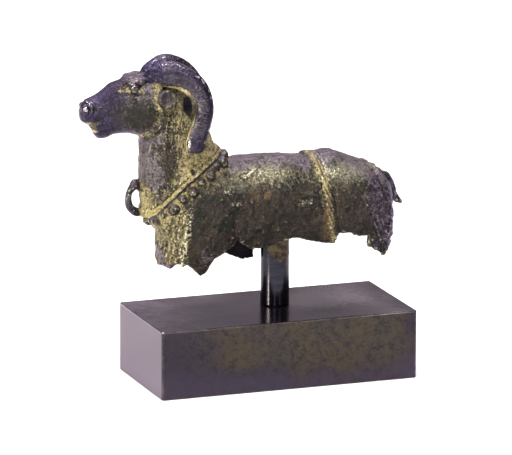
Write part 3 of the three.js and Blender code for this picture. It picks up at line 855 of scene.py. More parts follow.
def raise_flank(height, m):
    """Adds the fold behind the foreleg, the shoulder, and a raised patch with a sharp edge on the
    back."""
    x, z = m.x, m.z
    fold = groove(x + 16.2 + 0.12 * (z - 56), 0.9) * smoothstep(67, 60, z) * (m.out > 8)
    height -= 0.8 * fold * m.outside
    shoulder = blob(m.side, (-24.5, 60), (7, 11)) * (m.out > 8)
    height += 0.7 * shoulder * m.outside
    patch = blob(m.side, (-3.5, 78.6), (9.5, 3.4)) * m.outside
    patch_edge = groove(z - 77.2 - 0.5 * (x + 12.3), 0.45) * smoothstep(-13.5, -12, x)
    patch_edge *= smoothstep(-6.4, -8, x)
    height += (0.3 * patch + 0.7 * patch_edge * (m.out > 6)) * m.outside


def raise_band(height, m):
    """Adds the band's twisted strands, and the grooves and the low edge beside it."""
    strands = np.sin(2 * np.pi * (m.band / 1.5 + m.out * 0.22 + m.z * 0.22))
    on_band = groove(m.band, 1.5) * m.outside
    height += 0.2 * on_band * strands
    height -= 0.5 * groove(m.band - 3.0, 0.6) * smoothstep(79, 74, m.z) * m.outside
    height -= 0.3 * groove(m.band + 2.2, 0.45) * (m.z > 60) * m.outside
    height += 0.25 * groove(m.band - 2.1, 0.35) * smoothstep(74, 77, m.z) * m.outside


def raise_rear(height, m):
    """Adds the hip, the rim down the rear with the groove before it, and the pointed locks below it."""
    x, z = m.x, m.z
    hip = blob(m.side, (33, 63), (9, 12)) * (m.out > 8)
    height += 0.5 * hip * m.outside
    rear_x = x - np.interp(z, *REAR_RIM)
    rear_rim = groove(rear_x, 0.8)
    height += 0.7 * rear_rim * (m.out > 4) * m.outside
    height -= 0.6 * groove(rear_x + 2.1, 0.6) * (m.out > 4) * (z < 76) * m.outside
    chevron = hair_locks(z * 0.5 + x, x + 0.3 * z, 2.4, 3.4)
    height += 0.6 * chevron * smoothstep(36, 39, x) * smoothstep(66, 62, z) * m.outside


def raise_neck(height, m):
    """Adds upright strokes on the neck, fine flutes across the horns, and the dent near the strap."""
    strokes = np.sin(2 * np.pi * m.turn / 1.35 + 2 * soft_noise(m.points, 4, 6))
    height += 0.12 * strokes * m.neck * smoothstep(-32, -42, m.x)
    height += 0.03 * np.sin(2 * np.pi * m.horn_run / 1.9 + soft_noise(m.points, 3, 7)) * m.on_horn
    height += (0.25 * groove(m.dent - 1.6, 0.5) - 0.6 * smoothstep(1.2, 0.5, m.dent)) * (m.out > 6)


def raise_face(height, m):
    """Adds a groove round the eye, the ring behind the nostril's knob, and a nick before the eye."""
    rim = np.hypot(m.eye_x / 4.4, (m.eye_z - 0.6) / 2.6)
    height -= 0.35 * m.on_head * groove(rim - 0.75, 0.2) * (m.head_out > 3)
    behind = smoothstep(0.2, 0.9, m.nostril_x)
    nose = m.on_head * (m.head_out > 1.2)
    ring = 0.4 * groove(m.nostril - 2.45, 0.35) * behind
    ring = ring - 0.3 * groove(m.nostril - 1.85, 0.3) * (0.3 + 0.7 * behind)
    height += nose * ring
    nick = groove((m.head_x + 57.2) + 0.8 * (m.head[:, 2] - 107.8), 0.3)
    nick *= blob(m.head_side, (-57.2, 107.8), (1.6, 1.6))
    height -= 0.3 * nick * m.on_head


def relief(m):
    """Height in millimetres that each vertex is raised along its normal, half of it inside."""
    height = skin_relief(m)
    for add in (raise_front, raise_flank, raise_band, raise_rear, raise_neck, raise_face):
        add(height, m)
    return np.where(m.outside, height, 0.5 * height)


def hollows_and_ridges(points, normals, edges, rounds):
    """How far each vertex lies under (+) or over (-) the mean of what surrounds it."""
    mean = points
    for _ in range(rounds):
        mean = neighbour_mean(mean, edges)
    return ((mean - points) * normals).sum(1)


def darkened_skin(m):
    """Dark skin that holds no deposit: pellets, ears, loop, the knobs of crest and tail, eyes, brow,
    nose, horns, and, as part of the painted shade there, the line below the strap."""
    dark = 0.75 * m.on_pellet + 0.7 * smoothstep(3.7, 3.3, m.ear) * (m.head_out > 6)
    dark += 0.7 * m.round_loop
    for knob in ((38.7, 78), (42.1, 76), (44.8, 74.5), (47.1, 72), (50, 66)):
        dark += 0.8 * blob(m.side, knob, (1.6, 1.6))
    # Painted shade: no deposit on the line below the strap.
    dark += 0.7 * groove(m.behind_collar - 2.1, 0.45) * (m.z > 58) + 0.8 * m.on_horn
    dark += m.on_head * (smoothstep(2, 1.5, m.nostril) + 0.7 * smoothstep(-58, -66, m.head_x))
    dark += m.on_head * spots(m.head_side, ((1.2, (EYE_BALL_X, EYE_LEVEL + 1.2), (1.7, 2.6)),
                                            (1, (-51.6, 114.0), (3.4, 1.7))))
    return dark


def tan_deposit_and_sheen(m, dark, sunk, sunk_wide):
    """Tan deposit: in hollows, on the neck, more so towards the nape, along the strap and the band, on
    the breast's locks, on the slope of the back, round the ear, and in the eye and mouth. On the slope
    of the back and the raised patch there, it is partly painted sheen."""
    x, z = m.x, m.z
    cheek = m.on_head * (m.head_out > 5)
    tan = 0.15 * smoothstep(0.03, 0.2, sunk) + 0.35 * smoothstep(0.05, 0.35, sunk_wide)
    tan += m.neck * np.interp(m.ragged_x, [-48.4, -44.4, -39.7, -35.1, -30],
                              [0.14, 0.2, 0.38, 0.68, 0.78])
    tan += m.neck * (0.12 * smoothstep(-8, -2, m.behind_collar) + spots(m.side, (
        (-0.5, *THROAT_PATCH), (0.6, *LOOP_PATCH), (-0.3, *NECK_PATCH))))
    tan += 0.8 * groove(m.behind_collar - 0.5, 0.8) * (z > 58)
    tan += 0.65 * groove(m.behind_collar - 3.8, 2.4) * (z > 56) * smoothstep(86, 78, z)
    tan += m.breast * (0.35 + 0.45 * m.locks - 0.5 * smoothstep(6, 2, m.out) * smoothstep(56, 47, z))
    tan += 0.5 * groove(m.dent - 1.7, 0.5) * (m.out > 6)
    # Deposit on the band, and tan on the raised patch of the back that is partly painted sheen.
    tan += 0.6 * groove(m.band, 1.5) + 0.3 * blob(m.side, (-3.5, 78.0), (13, 3))
    # Painted sheen with some deposit: tan on the body's slopes that face half up.
    tan += (0.16 + 0.1 * soft_noise(m.points, 5, 10)) * groove(m.up - 0.5, 0.3) * m.body * (x < 38)
    tan += 0.75 * groove(m.ear - 4.1, 0.7) * (m.head_out > 5) * (m.head_x < -38)
    tan += cheek * spots(m.head_side, ((0.55, (-44.0, 111.5), (1.3, 3)), (0.45, (-43.0, 104), (1.6, 6))))
    tan += m.on_head * spots(m.head_side, (
        (0.5, (-46.5, 94.6), (5, 1.0)), (0.6, (-56.6, 111.3), (1.6, 1.0)),
        (1.4, (EYE_BALL_X - 1.9, EYE_LEVEL), (1.1, 0.8)),
        (1.4, (EYE_BALL_X + 2.3, EYE_LEVEL), (1.1, 0.8))))
    tan = tan * (1 - np.clip(dark, 0, 0.9)) + 1.2 * m.inner_rim
    root = smoothstep(-0.2, -0.8, m.horn_out) * smoothstep(19, 9, m.horn_run)
    tan += 0.75 * m.on_horn * root * (0.6 + 0.5 * soft_noise(m.points, 3, 16))
    tan += 0.5 * blob(m.side, *CREST_PATCH) * m.body
    in_mouth = smoothstep(4.9, 3.9, m.head_out)
    tan += m.on_head * (1.2 * blob(m.head_side, (-66.9, 95.9), (2.2, 0.6))
                        + 1.5 * blob(m.head_side, (-65.6, 98.9), (2.8, 1.1)) * in_mouth)
    return tan


def bare_skin_and_sheen(m, sunk):
    """Mauve skin, partly uncovered metal and partly painted sheen where surfaces face up or meet the
    light
    at a grazing angle: on the back, the head and horns, the front of the neck, the rear, the loop, the
    foreleg's stump and the middle of the breast."""
    x, z = m.x, m.z
    # Painted sheen: mauve on the body where it faces up.
    bare = 0.85 * m.body * smoothstep(0.45, 1.05, m.up + 0.3 * soft_noise(m.points, 4, 11))
    bare += 0.7 * m.on_head + 0.7 * m.on_horn + 0.9 * m.rear + 0.5 * m.on_loop
    # Painted sheen down the front of the neck, fading towards the back.
    bare += m.neck * np.interp(m.ragged_x, [-48.4, -44.4, -39.7, -35], [0.68, 0.5, 0.25, 0])
    bare += m.neck * spots(m.side, ((0.6, *THROAT_PATCH), (-0.6, *LOOP_PATCH), (-0.3, *NECK_PATCH)))
    # Painted sheen on the top of the rump, where it faces up.
    bare += 0.35 * smoothstep(28, 33, x) * smoothstep(0.3, 0.6, m.up)
    bare += 0.6 * blob(m.side, (-27.5, 49), (4, 4)) - 0.4 * blob(m.side, *CREST_PATCH)
    # Painted sheen on the front of the breast, low down.
    bare += m.breast * smoothstep(6, 2, m.out) * smoothstep(58, 48, z)
    bare -= 0.7 * blob(m.head_side, (-49, 102), (8, 6)) * m.on_head * (m.head_out > 5)
    return bare * (1 - 0.5 * smoothstep(0.05, 0.2, sunk))


def rust_spots(m):
    """Rust on the flank, beside the band, at the back of the neck and inside the breast's edge."""
    blotchy = 0.6 + 0.7 * soft_noise(m.points, 2.2, 15)
    rust = 1.3 * blob(m.side, (-7, 69), (7, 4.5)) * blotchy
    rust += spots(m.side, ((0.9, (19.2, 61), (1.9, 11)), (0.4, (-1, 58), (9, 3))))
    rust += m.neck * spots(m.side, ((0.3, (-36.5, 97), (3, 9)), (0.3, (-36, 80), (4, 5))))
    return rust + 0.8 * blob(m.points, (-40, -5, 46.5), (4, 7, 3))


def bright_metal_and_highlights(m, sunk):
    """Bright metal: worn on what stands proud, as grains on the neck and the lower flanks, along the
    horns' inner rims and in places on the loop and the muzzle; and painted highlights down the breast's
    ridges, along the raised patch's edge and the strap's edge, in streaks on the back, along the horns'
    crests and at the lower end of their curl, on the nostril's knob and on the brow."""
    x, z, run = m.x, m.z, m.horn_run
    bright = 0.4 * smoothstep(0.05, 0.2, -sunk)
    # Painted highlights down the breast's ridges and along the edge of the raised patch.
    bright += 0.33 * groove(m.ridge, 1.5) * smoothstep(69, 65, z) * (x < -32)
    bright += 0.5 * groove(z - 77.6 - 0.5 * (x + 12.3), 0.5) * (x > -13) * (x < -6.5)
    bright += 0.2 * m.neck + 0.18 * m.body * smoothstep(0.8, 0.5, m.up)
    bright += 0.8 * groove(m.band - 2.3, 0.6) * smoothstep(72, 76, z)
    # Painted highlights in streaks and spots on the back and the flank.
    bright += spots(m.side, ((0.6, (22, 77), (5, 1.6)), (0.5, (-19, 73), (1.6, 1)),
                             (0.5, (-16.4, 68.4), (2.6, 1)), (0.45, (11.3, 67), (3.2, 1.2)),
                             (0.4, (-5, 78.5), (10, 2)), (0.2, (2, 74), (14, 2.6))))
    bright *= 1 - 0.85 * m.on_horn
    # Painted highlights on the horns: dashes along the crest, a line along its top and one at the lower
    # end of the curl.
    stretches = smoothstep(17, 19, run) * smoothstep(28, 26, run)
    stretches += smoothstep(31, 34, run) * smoothstep(43, 41, run)
    dashes = smoothstep(-0.2, 0.3, soft_noise(m.points, 1.6, 9)) * stretches
    crest = 0.9 * groove(m.horn_out - 0.82, 0.12) * dashes
    crest += 0.45 * groove(m.horn_out - 0.85, 0.14) * smoothstep(19, 15, run) * smoothstep(2, 5, run)
    crest += 0.8 * groove(m.horn_out + 0.7, 0.15) * smoothstep(39, 42, run) * (m.horn_over > 0)
    bright += crest * m.on_horn + 0.5 * m.inner_rim
    bright += 0.3 * smoothstep(0.1, 0.5, soft_noise(m.points, 1.8, 14)) * m.on_loop
    # Painted highlight along the strap's raised edge.
    bright += 0.7 * groove(m.behind_collar - 1.35, 0.3) * (z > 58)
    bright += 0.5 * blob(m.head_side, (-66.5, 107), (2, 1.2)) * m.on_head
    # Painted highlights on the nostril's knob and, in the returned sum, on the brow.
    bright += 1.1 * blob(m.head_side, (NOSTRIL_X + 0.1, NOSTRIL_Z + 0.1), (0.7, 0.7)) * (m.head_out > 4)
    return bright + 0.5 * blob(m.head_side, (-51.0, 115.3), (1.0, 0.8)) * (m.head_out > 4.5)


def cool_tone(m):
    """Where the mauve skin, uncovered metal and painted sheen alike, is blue rather than mauve: muzzle,
    horns, loop and the steep rear.
    """
    cool = m.on_head * smoothstep(-50, -60, m.head_x) + 0.2 * m.on_head + 0.85 * m.on_horn
    return cool + 0.6 * m.rear * smoothstep(0.75, 0.4, m.up) + 0.7 * m.round_loop


def gold_tone(m):
    """Where the deposit is golden: band, strap and pellets, horns and mouth."""
    gold = groove(m.band, 1.6) + groove(m.behind_collar, 1.3) * (m.z > 58) + 0.8 * m.on_horn
    gold += 0.8 * groove(m.behind_collar - 3.8, 1.8) * (m.z > 56)
    return gold + 0.7 * smoothstep(-50, -62, m.head_x) * m.on_head


def pale_bloom_and_sheen(m):
    """A thin pale film and painted sheen along the shoulder of the back, on the slopes of the body that
    face half up, and a little on the neck.
    """
    bloom_and_sheen = spots(m.side, ((0.42, (-5, 78.5), (13, 3.4)), (0.5, (27, 77.5), (8, 2.6))))
    # Painted sheen on the slopes of the body that face half up.
    slope = (0.25 + 0.2 * soft_noise(m.points, 6, 12)) * groove(m.up - 0.5, 0.3)
    return bloom_and_sheen + slope * m.body + 0.1 * m.neck


def shaded_pit_behind_ear(m):
    """Painted shade in the pit between ear and horn, where the horn stands off the neck."""
    pit = smoothstep(0.3, 0.5, blob(m.side, (-32.9, 104.8), (1.9, 3.7)))
    return pit * (m.out > 4) * (1 - m.on_horn)


def shaded_holes(m):
    """What is nearly as dark as the hollow: the pit, the ear's dish, the inner wall of the horn's
    curl, the parting of the lips, the line below the strap, the dent and the nostril."""
    hole = shaded_pit_behind_ear(m) + 0.7 * smoothstep(3.9, 3.4, m.ear) * (m.head_out > 6)
    wall = m.on_horn * smoothstep(-0.7, -0.85, m.horn_out) * smoothstep(0.5, -0.5, m.horn_over)
    hole += 0.25 * m.on_pellet + 0.7 * wall
    # Painted shade along the line below the strap.
    hole += 0.9 * groove(m.behind_collar - 2.15, 0.28) * (m.z > 58) * (m.out > 3)
    hole += 0.9 * smoothstep(1.3, 0.8, m.dent) * (m.out > 6)
    return hole + m.on_head * spots(m.head_side, (
        (0.9, (-65.6, 97.3), (3, 0.35)), (1.3, (NOSTRIL_X + 3.5, NOSTRIL_Z - 0.1), (0.8, 1.3))))


def finish_shares(m, sunk, sunk_wide):
    """The share of each finish and tone over the casting, under the names that the material reads.
    Inside the hollow only its own shade is left."""
    dark = darkened_skin(m)
    shares = {"rear": m.rear * smoothstep(0.8, 0.5, m.up), "bloom_and_sheen": pale_bloom_and_sheen(m), "neck": m.neck,
              "tan": tan_deposit_and_sheen(m, dark, sunk, sunk_wide), "bare": bare_skin_and_sheen(m, sunk),
              "rust": rust_spots(m), "bright": bright_metal_and_highlights(m, sunk), "dark": dark,
              "cool": cool_tone(m), "gold": gold_tone(m)}
    shares = {name: np.clip(share, 0, 1) * m.outside for name, share in shares.items()}
    # The inside of the hollow and the painted shade in pits, dishes and gaps share one dark tone.
    shares["inside"] = np.clip(m.inside + shaded_holes(m), 0, 1)
    shares["horn_run"] = m.horn_run
    shares["horn"] = m.on_horn
    face = smoothstep(12, 28, m.horn_run) * smoothstep(42, 35, m.horn_run)
    # Painted shade: navy on the horn's bevel beyond the crease, where it faces away from the light, and
    # in the pit behind the ear.
    navy = smoothstep(0.42, 0.52, m.horn_out) * smoothstep(0.93, 0.85, m.horn_out)
    navy *= smoothstep(11, 20, m.horn_run)
    shares["horn_face"] = m.on_horn * face * smoothstep(0.52, 0.42, m.horn_out)
    shares["horn_rim"] = np.clip(m.on_horn * navy + shaded_pit_behind_ear(m), 0, 1)
    return shares


def store(piece, name, values):
    attribute = piece.data.attributes.new(name, "FLOAT", "POINT")
    attribute.data.foreach_set("value", values.astype(np.float32))


def thin_out(piece, limit):
    """Collapses the flattest faces until the piece has at most so many triangles."""
    polygons = piece.data.polygons
    sides = np.empty(len(polygons), np.int32)
    polygons.foreach_get("loop_total", sides)
    triangles = int((sides - 2).sum())
    if triangles > limit:
        modifier = piece.modifiers.new("thin", "DECIMATE")
        modifier.ratio = limit / triangles
        apply_modifiers(piece)


def smooth(piece):
    """Shades a piece smoothly."""
    piece.data.polygons.foreach_set("use_smooth", np.ones(len(piece.data.polygons), bool))


def build_ram():
    """The casting with its relief, and its finish shares stored before the mesh is thinned out."""
    ram = ram_mesh()
    points, edges = read_points(ram), read_edges(ram)
    marks = Marks(points, read_normals(ram))
    points = points + marks.normals * relief(marks)[:, None]
    write_points(ram, points)
    normals = read_normals(ram)
    sunk = hollows_and_ridges(points, normals, edges, NEAR_ROUNDS)
    sunk_wide = hollows_and_ridges(points, normals, edges, FAR_ROUNDS)
    for name, values in finish_shares(marks, sunk, sunk_wide).items():
        store(ram, name, values)
    store(ram, "sunk", np.clip(sunk * 5, -1, 1))
    thin_out(ram, FACE_LIMIT)
    smooth(ram)
    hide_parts("ram")
    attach(ram, "root")
    return ram


def rounded_outline(half_length, half_width, radius, steps=6):
    """Points round a rectangle whose corners are quarter circles."""
    quarter = np.linspace(0, np.pi / 2, steps)
    corners = []
    for i, (sx, sy) in enumerate(((1, 1), (-1, 1), (-1, -1), (1, -1))):
        angle = quarter + i * np.pi / 2
        centre = np.array([sx * (half_length - radius), sy * (half_width - radius)])
        corners.append(centre + radius * np.stack([np.cos(angle), np.sin(angle)], 1))
    return np.vstack(corners)


def build_plinth():
    """The block: its outline is drawn in by a quarter circle at the top and bottom edges."""
    quarter = np.linspace(0, np.pi / 2, 6)
    inset = EDGE_RADIUS * (1 - np.cos(quarter))[::-1]
    rise = EDGE_RADIUS * (1 - np.sin(quarter))[::-1]
    inset = np.concatenate([inset, inset[::-1]])
    z = np.concatenate([rise, PLINTH_HEIGHT - rise[::-1]])
    half = (PLINTH_LENGTH / 2, PLINTH_WIDTH / 2)
    rings = []
    for step_in, height in zip(inset, z):
        flat = rounded_outline(half[0] - step_in, half[1] - step_in, 2 * EDGE_RADIUS - step_in)
        rings.append(np.column_stack([flat, np.full(len(flat), height)]))
    points, faces = grid_mesh(np.array(rings))
    block = make_object("plinth_block", points, faces)
    on_bevel = (inset > 0.02 * EDGE_RADIUS) & (inset < 0.98 * EDGE_RADIUS)
    on_corner = np.arange(len(flat)) % len(quarter) % (len(quarter) - 1) > 0
    edge = np.zeros(len(points))
    edge[:len(inset) * len(flat)] = (on_bevel[:, None] | on_corner[None, :]).ravel()
    store(block, "edge", edge)
    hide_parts("plinth")
    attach(block, "root")
    return block


def build_post():
    """A round rod that widens a little to its foot, with both its rims bevelled: each radius of its
    profile is turned about the upright axis."""
    low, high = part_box("post")
    foot, top = low[2] / MM, high[2] / MM
    heights = np.concatenate([[foot, foot + 0.25], np.linspace(foot + 0.8, top - 0.5, 40), [top]])
    radii = np.interp(heights, [foot, top], [POST_FOOT_RADIUS, POST_TOP_RADIUS]) - POST_SLACK
    radii[0] -= 0.2
    radii[-1] -= 0.5
    angle = round_angles(96)
    x = POST_X + radii[:, None] * np.cos(angle)
    y = MID_Y + radii[:, None] * np.sin(angle)
    rod_piece = make_object("post_rod", *grid_mesh(np.stack([x, y, heights[:, None] + 0 * angle], -1)))
    smooth(rod_piece)
    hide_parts("post")
    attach(rod_piece, "root")
    return rod_piece


class Field:
    """A value socket: arithmetic on it adds Math nodes to its material."""

    def __init__(self, paint, socket):
        self.paint, self.socket = paint, socket

    def _math(self, operation, *values):
        return self.paint.node("ShaderNodeMath", {"operation": operation}, *values)

    def __add__(self, other):
        return self._math("ADD", self, other)

    def __mul__(self, other):
        return self._math("MULTIPLY", self, other)

    def __sub__(self, other):
        return self._math("SUBTRACT", self, other)

    def __rsub__(self, other):
        return self._math("SUBTRACT", other, self)

    __radd__ = __add__
    __rmul__ = __mul__

    def step(self, low, high):
        """0 below low and 1 above high, smooth between."""
        settings = {"interpolation_type": "SMOOTHSTEP"}
        return self.paint.node("ShaderNodeMapRange", settings, self, low, high, 0.0, 1.0)

    def most(self, other):
        return self._math("MAXIMUM", self, other)

    def least(self, other):
        return self._math("MINIMUM", self, other)

    def sine(self):
        return self._math("SINE", self)


class Paint:
    """A material and short ways to add nodes to it."""

    def __init__(self, name, **constants):
        self.material = bpy.data.materials.new(name)
        self.material.use_nodes = True
        self.tree = self.material.node_tree
        self.shader = self.tree.nodes["Principled BSDF"]
        for socket, value in constants.items():
            self.shader.inputs[socket.replace("_", " ")].default_value = value

    def node(self, kind, settings, *values, output=0, **named):
        """Adds a node, applies its settings, and links or sets its input sockets in order or by name."""
        made = self.tree.nodes.new(kind)
        for key, value in settings.items():
            setattr(made, key, value)
        inputs = [(made.inputs[i], value) for i, value in enumerate(values)]
        inputs += [(made.inputs[key.replace("_", " ")], value) for key, value in named.items()]
        for socket, value in inputs:
            if isinstance(value, Field):
                self.tree.links.new(value.socket, socket)
            elif value is not None:
                socket.default_value = value
        return Field(self, made.outputs[output])

    def place(self):
        return self.node("ShaderNodeTexCoord", {}, output="Object")

    def axis(self, name):
        """One coordinate of the object's space, in metres."""
        return self.node("ShaderNodeSeparateXYZ", {}, self.place(), output=name)

    def share(self, name):
        return self.node("ShaderNodeAttribute", {"attribute_name": name}, output="Fac")

    def noise(self, size, detail=4.0, roughness=0.6, distortion=0.0, where=None):
        """Noise around 0.5 whose largest features are about so many millimetres."""
        return self.node("ShaderNodeTexNoise", {}, Vector=where or self.place(), Scale=1 / (size * MM),
                         Detail=detail, Roughness=roughness, Distortion=distortion)

    def stretched(self, x, y, z):
        """Object coordinates scaled along each axis, for grain that runs one way."""
        return self.node("ShaderNodeMapping", {}, self.place(), Scale=(x, y, z))

    def mix(self, share, first, second):
        """A colour between two, each given as a colour or as another mix."""
        made = self.tree.nodes.new("ShaderNodeMix")
        made.data_type = "RGBA"
        for index, value in ((0, share), (6, first), (7, second)):
            if isinstance(value, Field):
                self.tree.links.new(value.socket, made.inputs[index])
            else:
                made.inputs[index].default_value = value if index == 0 else (*value, 1)
        return Field(self, made.outputs[2])

    def layers(self, colour, *coats):
        """A colour under coats of other colours, each given as its share and its colour."""
        for share, tone in coats:
            colour = self.mix(share, colour, tone)
        return colour

    def bump(self, height, distance):
        """A raised surface, with the height of one unit in millimetres."""
        return self.node("ShaderNodeBump", {}, Strength=1.0, Distance=distance * MM, Height=height)

    def gap(self, *centre):
        """The distance to a point of the object's space, in metres."""
        return self.node("ShaderNodeVectorMath", {"operation": "DISTANCE"}, self.place(), centre,
                         output="Value")

    def feed(self, **inputs):
        for name, value in inputs.items():
            self.tree.links.new(value.socket, self.shader.inputs[name.replace("_", " ")])
        return self.material


# Colours of the ram, as linear red, green and blue
GREEN_SKIN = (0.007, 0.009, 0.006)
BROWN_SKIN = (0.020, 0.013, 0.011)
VIOLET_CLOT = (0.024, 0.014, 0.026)
OLIVE_GRAIN = (0.039, 0.035, 0.021)
MAUVE_DARK = (0.045, 0.035, 0.046)
MAUVE_LIGHT = (0.125, 0.104, 0.112)
BLUE_DARK = (0.007, 0.0055, 0.019)
BLUE_LIGHT = (0.020, 0.015, 0.042)
PURPLE_DARK = (0.006, 0.004, 0.008)
PURPLE_LIGHT = (0.082, 0.062, 0.102)
PALE_GRAIN = (0.27, 0.225, 0.24)
BROWN_FLECK = (0.034, 0.029, 0.020)
PALE_BLOOM_AND_SHEEN = (0.19, 0.17, 0.125)
TAN_DARK = (0.080, 0.058, 0.028)
TAN_LIGHT = (0.34, 0.28, 0.14)
TAN_GOLD = (0.32, 0.235, 0.088)
TAN_SHADE = (0.034, 0.025, 0.014)
RUST = (0.088, 0.053, 0.023)
WORN_HORN = (0.070, 0.058, 0.062)
NAVY_HORN = (0.005, 0.004, 0.013)
BRIGHT_WARM = (0.44, 0.41, 0.30)
BRIGHT_COOL = (0.48, 0.44, 0.47)
PIT_SHADE = (0.010, 0.007, 0.009)
HOLE_SHADE = (0.013, 0.010, 0.013)


def ram_finish():
    """Old cast bronze: a dark skin broken by olive grains, mauve on what stands proud as uncovered metal
    and as painted sheen, a pale film with painted sheen along the back, tan deposit in what is sunk,
    rusty spots, bright worn grains with painted highlights, and painted shade in pits and holes."""
    paint = Paint("old_cast_bronze", IOR=1.4, Specular_Tint=(1.0, 0.82, 1.0, 1))
    names = "tan bare rust bright inside sunk dark cool"
    tan, bare, rust, bright, inside, sunk, dark, cool = map(paint.share, names.split())
    broad, clots = paint.noise(7, 5, 0.65), paint.noise(2.3, 4, 0.7, 0.6) - 0.5
    grain, fine = paint.noise(0.8, 3, 0.75) - 0.5, paint.noise(0.45, 2, 0.7) - 0.5
    strokes = paint.noise(0.7, 3, 0.7, where=paint.stretched(1, 1, 0.12)) - 0.5
    strokes = strokes * paint.share("neck")
    striae = (paint.share("horn_run") * 7.5 + grain * 5).sine() * paint.share("horn")

    olive = (grain * 3.4 + clots * 1.4 + broad * 1.4 - 0.5).step(0.15, 0.8) * (1 - dark * 0.9)
    skin = paint.layers(paint.mix(broad.step(0.4, 0.6), GREEN_SKIN, BROWN_SKIN),
                        (clots.step(0.02, 0.14) * 0.75, VIOLET_CLOT), (olive, OLIVE_GRAIN))

    warm = paint.mix(clots.step(-0.15, 0.15), MAUVE_DARK, MAUVE_LIGHT)
    cold = paint.mix(clots.step(-0.15, 0.15), BLUE_DARK, BLUE_LIGHT)
    purple = paint.mix((clots + grain * 0.8).step(-0.12, 0.16), PURPLE_DARK, PURPLE_LIGHT)
    grains = (fine * 1.6 + grain * 2.2).step(0.06, 0.5) * (0.85 - cool * 0.7)
    flecks = (clots * 2.4 - grain * 2.4).step(0.05, 0.5) * (1 - cool) * 0.8
    mauve = paint.layers(warm, (cool, cold), (paint.share("rear") * 0.9, purple),
                         (grains, PALE_GRAIN), (flecks, BROWN_FLECK))

    deposit = paint.layers(paint.mix(grain.step(-0.14, 0.14), TAN_DARK, TAN_LIGHT),
                           (paint.share("gold") * (clots * 3 + 0.6).step(0, 1), TAN_GOLD),
                           (clots.step(0.02, 0.12), TAN_SHADE))

    # Share of mauve: uncovered metal and painted sheen.
    bare_and_sheen_share = (bare + clots * 1.2 * bare + grain * 0.9 + strokes).step(0.2, 0.85)
    # Pale film and painted sheen along the back.
    bloom_and_sheen_share = (paint.share("bloom_and_sheen") * (1 + grain * 3.4 + clots * 2)).step(0.05, 0.8)
    tan_share = (tan * 1.2 + grain * 1.8 + clots * 1.5 + strokes * 1.5).step(0.25, 0.95)
    rust_share = (rust + grain * 2.5 * rust).step(0.3, 0.9)
    worn = (grain * 2.4 + clots * 1.6 + striae * 0.25 + 0.45).step(0.1, 0.9)
    worn_face = paint.share("horn_face") * worn
    # Navy painted shade on the horns' bevels and in the pit behind the ear.
    rim = paint.share("horn_rim")
    # Bright worn grains and painted highlights.
    bright_share = (bright * (1 + grain * 6)).step(0.45, 0.95)
    colour = paint.layers(
        skin, (bare_and_sheen_share, mauve), (bloom_and_sheen_share * 0.85, PALE_BLOOM_AND_SHEEN), (tan_share, deposit),
        (rust_share * 0.8, RUST), (worn_face * 0.8, WORN_HORN), (rim * 0.95, NAVY_HORN),
        (bright_share * 0.85, paint.mix(cool, BRIGHT_WARM, BRIGHT_COOL)),
        (sunk.step(0.2, 0.8) * 0.75, PIT_SHADE), (inside * 0.92, HOLE_SHADE))

    height = (grain * 1.0 + fine * 0.4 + strokes) * (1 - dark * 0.8) + broad * 0.3 + striae * 0.04
    rough = 0.3 + tan_share * 0.22 + grain * 0.2 + inside * 0.3 - dark * 0.1 - bright_share * 0.08
    metal = (0.65 + bare * 0.2 + bright_share * 0.2) * (1 - tan_share * 0.85)
    metal = metal * (1 - inside) * (1 - rim * 0.4)
    return paint.feed(Base_Color=colour, Roughness=rough.most(0.14).least(0.8), Metallic=metal,
                      Normal=paint.bump(height, 0.7))


# Colours of the plinth and the post
PLINTH_DARK = (0.021, 0.018, 0.023)
PLINTH_OLIVE = (0.048, 0.040, 0.034)
PLINTH_BROWN = (0.060, 0.043, 0.028)
PLINTH_TOP_END_REFLECTION = (0.30, 0.245, 0.275)
PLINTH_TOP_BACK_REFLECTION = (0.42, 0.34, 0.39)
PLINTH_TOP_CORNER_REFLECTION = (0.50, 0.41, 0.50)
VIOLET_UPPER = (0.024, 0.019, 0.034)
VIOLET_LOWER = (0.042, 0.032, 0.054)
PLINTH_SPECK = (0.020, 0.017, 0.018)
WORN_EDGE = (0.42, 0.36, 0.30)
POST_DARK = (0.020, 0.019, 0.026)
POST_LIGHT = (0.030, 0.028, 0.038)
POST_SHADE = (0.009, 0.008, 0.011)
RESIDUE_DARK = (0.040, 0.030, 0.022)
RESIDUE_LIGHT = (0.115, 0.085, 0.056)

# The middle of the pitted place on the plinth's top and of the residue on the post, in metres
PITTED_PLACE = (0.021, 0.004, PLINTH_HEIGHT * MM)
RESIDUE_PLACE = (0.0045, -0.0022, 0.0475)


